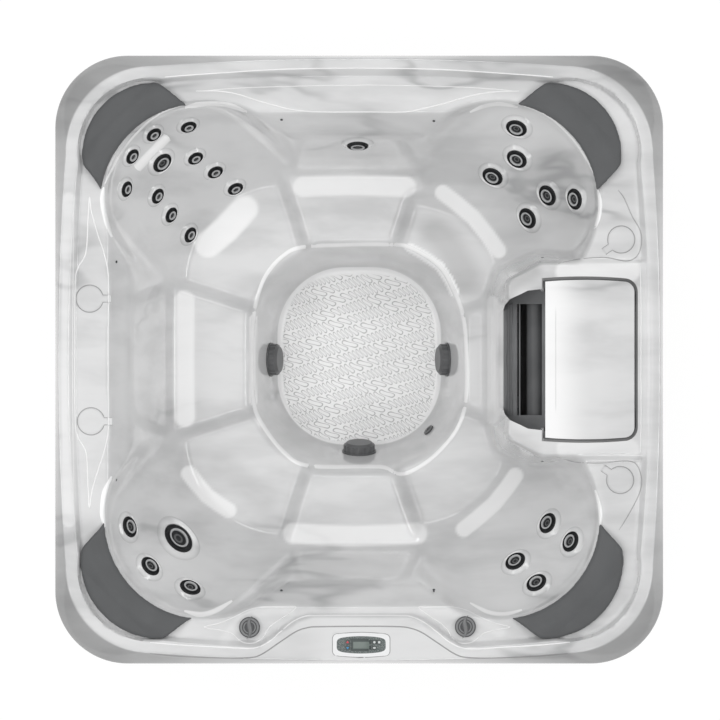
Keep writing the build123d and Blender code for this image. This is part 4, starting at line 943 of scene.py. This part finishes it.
def strip(name, line, closed, width, height, tone, tree, finish="acrylic", taper=5):  # a rounded line
    points, faces, size, wide = [], [], len(line), len(stripShares)
    for i, p in enumerate(line):
        if closed:
            before, after = line[i - 1], line[(i + 1) % size]
        else:
            before, after = line[max(0, i - 1)], line[min(size - 1, i + 1)]
        side = (after - before).normalized()
        side = Vector((-side.y, side.x))
        ends = 1.0 if closed else min(1.0, min(i, size - 1 - i) / taper + 0.05)
        for t in stripShares:
            q = p + side * (t * width / 2 * (0.4 + 0.6 * ends))
            hit = tree.ray_cast(Vector((q.x, q.y, shell["drop"])), Vector((0, 0, -1)))[0]
            rise = height * ends * (1 - t * t) - (0.0004 if abs(t) > 0.9 else 0)
            points.append(Vector((q.x, q.y, (hit.z if hit else shell["deck"]) + rise)))
    for i in range(size if closed else size - 1):
        j = (i + 1) % size
        faces += [(i * wide + k, j * wide + k, j * wide + k + 1, i * wide + k + 1) for k in range(wide - 1)]
    piece = meshPiece(name, points, [], faces)
    if piece.data.polygons[0].normal.z < 0:
        piece.data.flip_normals()
    # the tone paints the line: a highlight above zero, shade below zero, strongest along its middle
    mark(piece, "tone", [tone * (1 - abs(t) ** 4) for _ in line for t in stripShares])
    slot = "acrylic" if finish == "acrylic" else "dark_plastic"
    return dress(piece, finishes[finish], "tub", slot=slot, angle=0)


def makeBeads(tree):
    for name, (points, closed, width, height, tone) in beads.items():
        taper = 1 if "ledge" in name else 5
        strip(name + "_line", curve(points, closed), closed, width, height, tone, tree, taper=taper)
    rim = [Vector(p) for p in panelOutline()]
    middle = sum(rim, Vector((0, 0))) / len(rim)
    gap = [p + (p - middle).normalized() * 0.002 for p in rim]
    strip("panel_gap", gap, True, 0.0035, 0.0003, -0.75, tree)
    for number, cup in enumerate(shell["cups"]):
        ring = [Vector(p) for p in cupOutline(*cup)]
        ring = ring[-1:] + ring[:-1]
        line = []
        for a, b in zip(ring, ring[1:]):
            count = max(1, int((b - a).length / 0.008))
            line += [a.lerp(b, k / count) for k in range(count)]
        # a line of painted shade round the edge of each cup
        strip(f"cup_line_{number}", line + [ring[-1]], False, 0.004, 0.0008, -0.55, tree)
    print("stage: deck lines")


boss = {"sides": 56, "foot": 0.99, "reach": 0.03, "bright": (1.08, 1.45), "pale": (1.02, 1.3),
        "tones": (0.14, -0.16), "glow": (2.2, 0.35),
        "profile": ((1.012, -0.0008), (1.012, 0.0072), (1.03, 0.0086), (1.09, 0.0090), (1.17, 0.0080),
                    (1.28, 0.0057), (1.40, 0.0030), (1.52, 0.0010), (1.62, -0.0006))}
opening = {"near": (0.08, 0.08, 0.09), "share": 0.93, "depth": 0.03}


def makeBosses(tree):  # a low moulded ring of the shell round each jet, with a painted highlight on the side it faces, a paler painted crest and painted shade at its foot
    count, rings = boss["sides"], len(boss["profile"])
    for name, form, place in jets():
        axis = (place.to_3x3() @ Vector((0, 0, 1))).normalized()
        points, tones = [], []
        for share, height in boss["profile"]:
            r = form["radius"] * boss["foot"]
            lit = boss["bright"][0] < share < boss["bright"][1]
            # painted shade on the boss's foot, and a paler painted band on its crest
            edge = boss["tones"][1] if share > boss["bright"][1] else 0
            if boss["pale"][0] < share < boss["pale"][1]:
                edge = boss["tones"][0]
            for i in range(count):
                a = 2 * math.pi * i / count
                start = place @ Vector((r * share * math.cos(a), r * share * math.sin(a), boss["reach"]))
                hit = tree.ray_cast(start, -axis)[0]
                points.append((hit or start - axis * boss["reach"]) + axis * height)
                side = (place.to_3x3() @ Vector((math.cos(a), math.sin(a), 0))).xy.normalized()
                away = side.dot(axis.xy.normalized())
                # painted highlight on the side of the boss that the jet faces
                glow = min(1, max(0, boss["glow"][0] * (away - boss["glow"][1]))) if lit else 0.0
                tones.append(min(1, glow + edge))
        faces = []
        for k in range(rings - 1):
            low, high = k * count, (k + 1) * count
            around = [(i, (i + 1) % count) for i in range(count)]
            faces += [(low + i, high + i, high + j, low + j) for i, j in around]
        piece = meshPiece(name + "_boss", points, [], faces)
        if piece.data.polygons[0].normal.dot(axis) < 0:
            piece.data.flip_normals()
        mark(piece, "tone", tones)
        dress(piece, finishes["acrylic"], "tub", slot="acrylic", angle=0)
    print("stage: bosses")


def openJets(piece):  # clears the sheet behind the jets, as far as the bosses cover
    spots = [(place.inverted(), joints[name]["pos_m"], form["radius"] * opening["share"])
             for name, form, place in jets()]
    mesh = bmesh.new()
    mesh.from_mesh(piece.data)
    doomed = []
    for face in mesh.faces:
        c = face.calc_center_median()
        for into, place, r in spots:
            if all(abs(a - b) < near for a, b, near in zip(c, place, opening["near"])):
                local = [into @ v.co for v in face.verts]
                if min(q.xy.length for q in local) < r and min(abs(q.z) for q in local) < opening["depth"]:
                    doomed.append(face)
                    break
    bmesh.ops.delete(mesh, geom=doomed, context="FACES")
    mesh.to_mesh(piece.data)
    mesh.free()


# Jets

jetForms = {  # ring: outer and inner radius of the ring round the nozzle, as shares
    "small": {"radius": 0.028, "sides": 40, "ring": (0.57, 0.35)},
    "medium": {"radius": 0.037, "sides": 48, "ring": (0.65, 0.49)},
    "large": {"radius": 0.058, "sides": 64, "ring": (0.66, 0.55)},
}


def jetFrame(name):
    joint = joints[name]
    axis = Vector(joint["axis"]).normalized()
    turn = axis.to_track_quat("Z", "Y").to_matrix().to_4x4()
    return Matrix.Translation(Vector(joint["pos_m"])) @ turn


def jets():  # name, form and frame of each jet
    for name in sorted(joints):
        if "_jet_" in name:
            yield name, jetForms[name[:name.index("_")]], jetFrame(name)


def lathe(name, profile, sides):  # spins a profile of (radius, height) round Z
    deselectAll()
    points = [Vector((r, 0, z)) for r, z in profile]
    piece = meshPiece(name, points, [(i, i + 1) for i in range(len(points) - 1)], [])
    activate(piece)
    bpy.ops.object.mode_set(mode="EDIT")
    bpy.ops.mesh.select_all(action="SELECT")
    bpy.ops.mesh.spin(steps=sides, angle=2 * math.pi, center=(0, 0, 0), axis=(0, 0, 1))
    bpy.ops.mesh.select_all(action="SELECT")
    bpy.ops.mesh.remove_doubles(threshold=0.00002)
    return outward(piece)


def jetProfile(r, ring):  # thin rim, dark bowl, and an inner ring that stands out of it round the nozzle
    outer, inner = ring
    shares = [
        (0.98, 0.0034), (1.0, 0.0045), (1.0, 0.009), (0.985, 0.0102), (0.955, 0.0106), (0.93, 0.0098),
        (0.905, 0.0072), (0.86, 0.0044), (0.78, 0.0037), (outer + 0.07, 0.0037), (outer + 0.035, 0.0048),
        (outer + 0.015, 0.0130), (outer, 0.0150), (outer - 0.03, 0.0155), (inner + 0.03, 0.0153),
        (inner, 0.0142), (inner - 0.03, 0.0085), (inner * 0.8, 0.0072), (inner * 0.62, 0.0078),
        (inner * 0.55, 0.0098), (inner * 0.38, 0.0098), (inner * 0.32, 0.0086), (0.0, 0.0086)]
    return [(r * share, z) for share, z in shares]


def makeJetFinish():
    finish = Finish("jetFace", (0.025, 0.026, 0.027), 0.45, specular=0.3)
    ring = finish.node("ShaderNodeAttribute", {"attribute_name": "ring"}, out=2)
    scratch = finish.noise(finish.place(), 260.0, 3, 0.6)
    dark = finish.mix(scratch.ramp(0.35, 0.7), (0.012, 0.013, 0.014, 1), (0.026, 0.027, 0.029, 1))
    tone = finish.mix(ring, dark, (0.42, 0.425, 0.43, 1))
    return finish.set(Base_Color=tone, Roughness=scratch * 0.14 + 0.4, Normal=finish.bump(scratch, 0.0001))


def makeJets():
    face = makeJetFinish()
    for name, form, place in jets():
        r = form["radius"]
        piece = lathe(name + "_face", jetProfile(r, form["ring"]), form["sides"])
        tones = []
        for v in piece.data.vertices:
            share = v.co.xy.length / r
            nozzle = 0.009 < v.co.z < 0.0099 and share < 0.5
            tones.append(1.0 if v.co.z > 0.014 and share > 0.3 else 0.22 if nozzle else 0.0)
        mark(piece, "ring", tones)
        piece.data.transform(place)
        dress(piece, face, bodyOf[name], [name], slotOf[name], angle=45)
    print("stage: jets")


# Head rests

headRest = {
    "voxel": 0.005, "smooth": 30, "swell": 0.0024, "inner": 0.345, "outer": 0.486, "end": 21.5,
    "lobes": {"left": -0.504, "right": 0.456, "y": 0.518}, "grow": (0.013, 0.020), "most": 1.2,
    "flare": 2.0, "shift": 2.5, "longer": {"back": 0.15, "front": 0.27}, "squeeze": 0.12, "lift": 0.0005,
    "front": {"back_left": 0.3585, "back_right": 0.3480, "front_left": 0.3585, "front_right": 0.3585},
    "tilt": 0.0235, "dome": 0.007, "domeFoot": 0.885, "domeRise": 0.012, "crown": (0.02, 0.085),
}


def spread(piece, name):  # draws the outer edge out to the raised band, and the ends along it
    h = headRest
    back, right = "back" in name, name.endswith("right")
    lobe = h["lobes"]["right" if right else "left"]
    centre = Vector((lobe * half, h["lobes"]["y"] * half * (1 if back else -1)))
    middle = Vector((1 if right else -1, 1 if back else -1)).normalized()
    lean = math.radians(h["shift"]) * (1 if right != back else -1)
    tilt = h["tilt"] if name == "pillow_back_left" else 0
    across = Vector((-1, -1)).normalized()
    for v in piece.data.vertices:
        above = v.co.z > shell["deck"] - 0.001
        away = v.co.xy - centre
        share = min(1, max(0, (away.length - h["inner"]) / (h["outer"] - h["inner"])))
        turn = math.degrees(away.angle(middle)) / h["end"]
        end = min(h["most"], turn * turn)
        if above:
            more = share * (h["grow"][0] + (h["grow"][1] - h["grow"][0]) * end)
            v.co.x, v.co.y = v.co.xy + away.normalized() * more
        bend = math.radians(h["flare"]) * end * (1 - share)
        if above:
            bend += away.angle(middle) * h["longer"]["back" if back else "front"]
        away = v.co.xy - centre
        away.rotate(Matrix.Rotation(math.copysign(bend, middle.cross(away)) + (lean if above else 0), 2))
        v.co.x, v.co.y = centre + away
        front = h["front"][name[7:]] + tilt * away.normalized().dot(across)
        if away.length < front:  # the front edge ends short of the lobe's own white edge
            v.co.x, v.co.y = centre + away.normalized() * (front + (away.length - front) * h["squeeze"])
            v.co.z = max(v.co.z, shell["deck"] + h["lift"])


def makeHeadRests():
    for name in sorted(nodes):
        if not name.startswith("pillow"):
            continue
        piece = copyOf(name, name + "_skin")
        spread(piece, name)
        modify(piece, "REMESH", mode="VOXEL", voxel_size=headRest["voxel"])
        modify(piece, "SMOOTH", factor=0.5, iterations=headRest["smooth"])
        modify(piece, "DISPLACE", strength=headRest["swell"], mid_level=0.0)
        applyAll(piece)
        low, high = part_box(name)
        centre = (low + high).xy / 2
        corner = Vector((1 if "right" in name else -1, 1 if "back" in name else -1)).normalized()
        shift, reach = headRest["crown"]
        for v in piece.data.vertices:  # the cushion swells towards its middle
            along = max(-1, min(1, ((v.co.xy - centre).dot(corner) - shift) / reach))
            rise = max(0, min(1, (v.co.z - headRest["domeFoot"]) / headRest["domeRise"]))
            v.co.z += headRest["dome"] * (1 - along * along) * rise
        dress(piece, finishes["head_rest_foam"], bodyOf[name], [name], slotOf[name], angle=0)
    print("stage: head rests")


# Pieces that keep the CAD shape, with their edges rounded

rounding = {
    "filter_lid": 0.006, "filter_housing": 0.0012, "control_panel": 0.0012, "front_panel": 0.0015,
    "side_panels": 0.0015, "corner_posts": 0.002, "base_pan": 0.004, "frame": 0.002, "pump_casing": 0.002,
    "control_box": 0.004, "heater": 0.001, "diverter_valves": 0.0008, "suction_covers": 0.0012,
    "weir": 0.0012, "floor_drain": 0.001,
}
ownFinish = {"filter_lid": "lid", "filter_housing": "housing", "weir": "weir"}
rib = {"count": 5, "first": 506.3, "pitch": 2.1, "width": 0.0035, "height": 0.0009}


def roundOff(node, width, angle=32):
    piece = copyOf(node, node + "_rounded")
    modify(piece, "BEVEL", width=width, segments=3, limit_method="ANGLE", angle_limit=math.radians(angle),
           use_clamp_overlap=True, harden_normals=False, miter_outer="MITER_ARC")
    applyAll(piece)
    dress(piece, finishes[ownFinish.get(node, slotOf[node])], bodyOf[node], [node], slotOf[node], angle=40)
    modify(piece, "WEIGHTED_NORMAL", weight=100, keep_sharp=True)
    return piece


def makeRounded():
    made = {node: roundOff(node, width) for node, width in rounding.items()}
    plate = surfaceTree(made["filter_housing"])
    for number in range(rib["count"]):
        x = rib["first"] + rib["pitch"] * number
        line = curve(((x, 316 + number), (x + 0.5, 338), (x, 360), (x + 0.5, 381), (x, 400 - number)))
        strip(f"mouth_rib_{number}", line, False, rib["width"], rib["height"], 0, plate, "housing")
    print("stage: rounded pieces")


# Knobs

knob = {
    "radius": 0.0368, "base": 0.8806, "sides": 72,
    "profile": ((0.99, 0.0), (1.0, 0.002), (1.0, 0.012), (0.985, 0.0138), (0.90, 0.0144), (0.88, 0.0156),
                (0.72, 0.0156), (0.70, 0.0128), (0.62, 0.0128), (0.60, 0.015), (0.50, 0.015), (0.47, 0.0136),
                (0.42, 0.0136), (0.40, 0.0148), (0, 0.0152)),
    "pale": ((0.71, 0.89), (0.49, 0.61)), "paleFrom": 0.0125, "paleTone": 1.0,
    "lever": 0.0403, "leverWidth": 0.0082, "leverFoot": 0.0142, "leverHigh": 0.0072, "leverSteps": 24,
    "leverTone": 0.75,
    "leverSection": ((-1, -0.001), (-1, 0.3), (-0.78, 0.72), (-0.36, 0.96), (0, 1), (0.36, 0.96),
                     (0.78, 0.72), (1, 0.3), (1, -0.001)),
}


def makeLever(name):  # a curved blade with pointed ends
    long, wide, steps, foot = knob["lever"], knob["leverWidth"], knob["leverSteps"], knob["leverFoot"]
    section = knob["leverSection"]
    count = len(section)
    points, faces = [], []
    for i in range(steps + 1):
        t = 2 * i / steps - 1
        middle = long * (0.5 * t ** 3 - 0.24 * t)
        reach = wide * (0.04 + 0.96 * (1 - t * t) ** 0.8)
        high = knob["leverHigh"] * (0.45 + 0.55 * (1 - t * t))
        points += [(middle + reach * s, long * t, foot + high * z) for s, z in section]
    for i in range(steps):
        here, there = i * count, (i + 1) * count
        around = [(k, (k + 1) % count) for k in range(count)]
        faces += [(here + k, here + j, there + j, there + k) for k, j in around]
    faces += [tuple(range(count)), tuple(range(steps * count, (steps + 1) * count))]
    piece = meshPiece(name, points, [], faces)
    activate(piece)
    return outward(piece)


def makeKnobs():
    finish = Finish("knobFace", (0.08, 0.082, 0.085), 0.36, coat=0.1)
    ring = finish.node("ShaderNodeAttribute", {"attribute_name": "ring"}, out=2)
    grain = finish.noise(finish.place(), 420.0, 3, 0.6)
    dark = finish.mix(grain.ramp(0.35, 0.7), (0.06, 0.062, 0.065, 1), (0.085, 0.087, 0.09, 1))
    finish.set(Base_Color=finish.mix(ring, dark, (0.21, 0.213, 0.217, 1)), Roughness=grain * 0.14 + 0.3,
               Normal=finish.bump(grain, 0.0001))
    for name in ("knob_left", "knob_right"):
        low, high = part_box(name)
        place = Matrix.Translation(((low.x + high.x) / 2, (low.y + high.y) / 2, knob["base"]))
        disc = lathe(name + "_disc", [(r * knob["radius"], z) for r, z in knob["profile"]], knob["sides"])
        lever = makeLever(name + "_lever")
        tones = []
        for v in disc.data.vertices:
            share = v.co.xy.length / knob["radius"]
            pale = v.co.z > knob["paleFrom"] and any(a < share < b for a, b in knob["pale"])
            tones.append(knob["paleTone"] if pale else 0.0)
        mark(disc, "ring", tones)
        mark(lever, "ring", [knob["leverTone"]] * len(lever.data.vertices))
        for piece in (disc, lever):
            piece.data.transform(place)
            dress(piece, finish.material, bodyOf[name], [name], slotOf[name], angle=50)
    print("stage: knobs")


# Control panel: a bare display, and key caps with plain signs

panel = {
    "frame": ((351.3, 638.6), (370.8, 652.0), 0.9060, 0.9086, 0.0009),
    "glass": ((353.2, 641.7), (369.2, 648.6), 0.9070, 0.9091, 0.0006),
    "keys": {"key_up": ((347.6, 642.2), 3, 0, "mark_red", (0.0062, 0.0056)),
             "key_down": ((347.6, 647.8), 3, 180, "mark_blue", (0.0062, 0.0056)),
             "key_jets": ((374.4, 642.2), 10, 0, "mark_white", (0.0042, 0.0042)),
             "key_light": ((379.2, 642.2), 4, 45, "mark_white", (0.0056, 0.0056)),
             "key_mode": ((374.4, 647.8), 12, 0, "mark_white", (0.0054, 0.0034))},
    "cap": 0.0082, "capShares": ((1, -0.0036), (1, -0.0012), (0.93, -0.0004), (0.6, 0.0), (0, 0.0001)),
    "capSides": 32, "lift": 0.001, "markRise": 0.0004, "markHeight": 0.0005,
}


def slab(name, first, second, low, high, bevel):
    a, b = plan(*first), plan(*second)
    deselectAll()
    bpy.ops.mesh.primitive_cube_add(size=1, location=(0, 0, 0))
    piece = bpy.context.object
    piece.name = name
    piece.data.transform(Matrix.Translation(((a.x + b.x) / 2, (a.y + b.y) / 2, (low + high) / 2)) @
                         Matrix.Diagonal((abs(b.x - a.x), abs(b.y - a.y), high - low, 1)))
    modify(piece, "BEVEL", width=bevel, segments=3)
    applyAll(piece)
    return piece


def makePanelParts():
    frame = slab("display_frame", *panel["frame"])
    dress(frame, finishes["display_frame"], bodyOf["display"], slot=slotOf["display"])
    glass = slab("display_glass", *panel["glass"])
    dress(glass, finishes["display_glass"], bodyOf["display"], ["display"], slotOf["display"])
    for name, (place, corners, turn, sign, size) in panel["keys"].items():
        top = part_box(name)[1].z + panel["lift"]  # a pressed sign stays above the panel's face
        centre = plan(*place)
        profile = [(panel["cap"] * share, z) for share, z in panel["capShares"]]
        cap = lathe(name + "_cap", profile, panel["capSides"])
        cap.data.transform(Matrix.Translation((centre.x, centre.y, top)))
        dress(cap, finishes["key_cap"], bodyOf[name], [name], slotOf[name], angle=50)
        deselectAll()
        bpy.ops.mesh.primitive_cylinder_add(vertices=corners, radius=1, depth=1, location=(0, 0, 0))
        piece = bpy.context.object
        piece.name = name + "_mark"
        place = Matrix.Translation((centre.x, centre.y, top + panel["markRise"]))
        grown = Matrix.Diagonal((*size, panel["markHeight"], 1))
        piece.data.transform(place @ grown @ Matrix.Rotation(math.radians(turn), 4, "Z"))
        dress(piece, finishes[sign], bodyOf[name], slot=slotOf[name])
    print("stage: control panel")


def dressRest():
    for name, obj in nodes.items():
        obj.data.materials.clear()
        obj.data.materials.append(finishes[slotOf[name]])
    print("stage: CAD nodes dressed")


def makeFloor():
    deselectAll()
    bpy.ops.mesh.primitive_plane_add(size=backdrop["size"], location=(0, 0, 0))
    floor = bpy.context.object
    floor.name = "floor"
    finish = Finish("paleFloor", (0.9, 0.9, 0.9), 0.9)
    lit = finish.node("ShaderNodeEmission", {}, {0: (1, 1, 1, 1), 1: backdrop["glow"]})
    path = finish.node("ShaderNodeLightPath")
    outs = path.socket.node.outputs
    seen = Wire(finish, outs["Is Camera Ray"]).atLeast(Wire(finish, outs["Is Glossy Ray"]))
    mixed = finish.node("ShaderNodeMixShader", {}, {0: seen * backdrop["share"]})
    tree = finish.tree
    tree.links.new(finish.shader.outputs[0], mixed.socket.node.inputs[1])
    tree.links.new(lit.socket, mixed.socket.node.inputs[2])
    tree.links.new(mixed.socket, tree.nodes["Material Output"].inputs[0])
    floor.data.materials.append(finish.material)
    world = bpy.data.worlds.new("studio")
    world.use_nodes = True
    world.node_tree.nodes["Background"].inputs[0].default_value = (1, 1, 1, 1)
    world.node_tree.nodes["Background"].inputs[1].default_value = backdrop["world"]
    bpy.context.scene.world = world


makeCamera()
makeLight()
finishes = makeFinishes()
makeFloor()
dressRest()
acrylic = makeShell()
sheet = surfaceTree(acrylic)
makeBeads(sheet)
makeBosses(sheet)
openJets(acrylic)
makeJets()
makeHeadRests()
makeRounded()
makeKnobs()
makePanelParts()
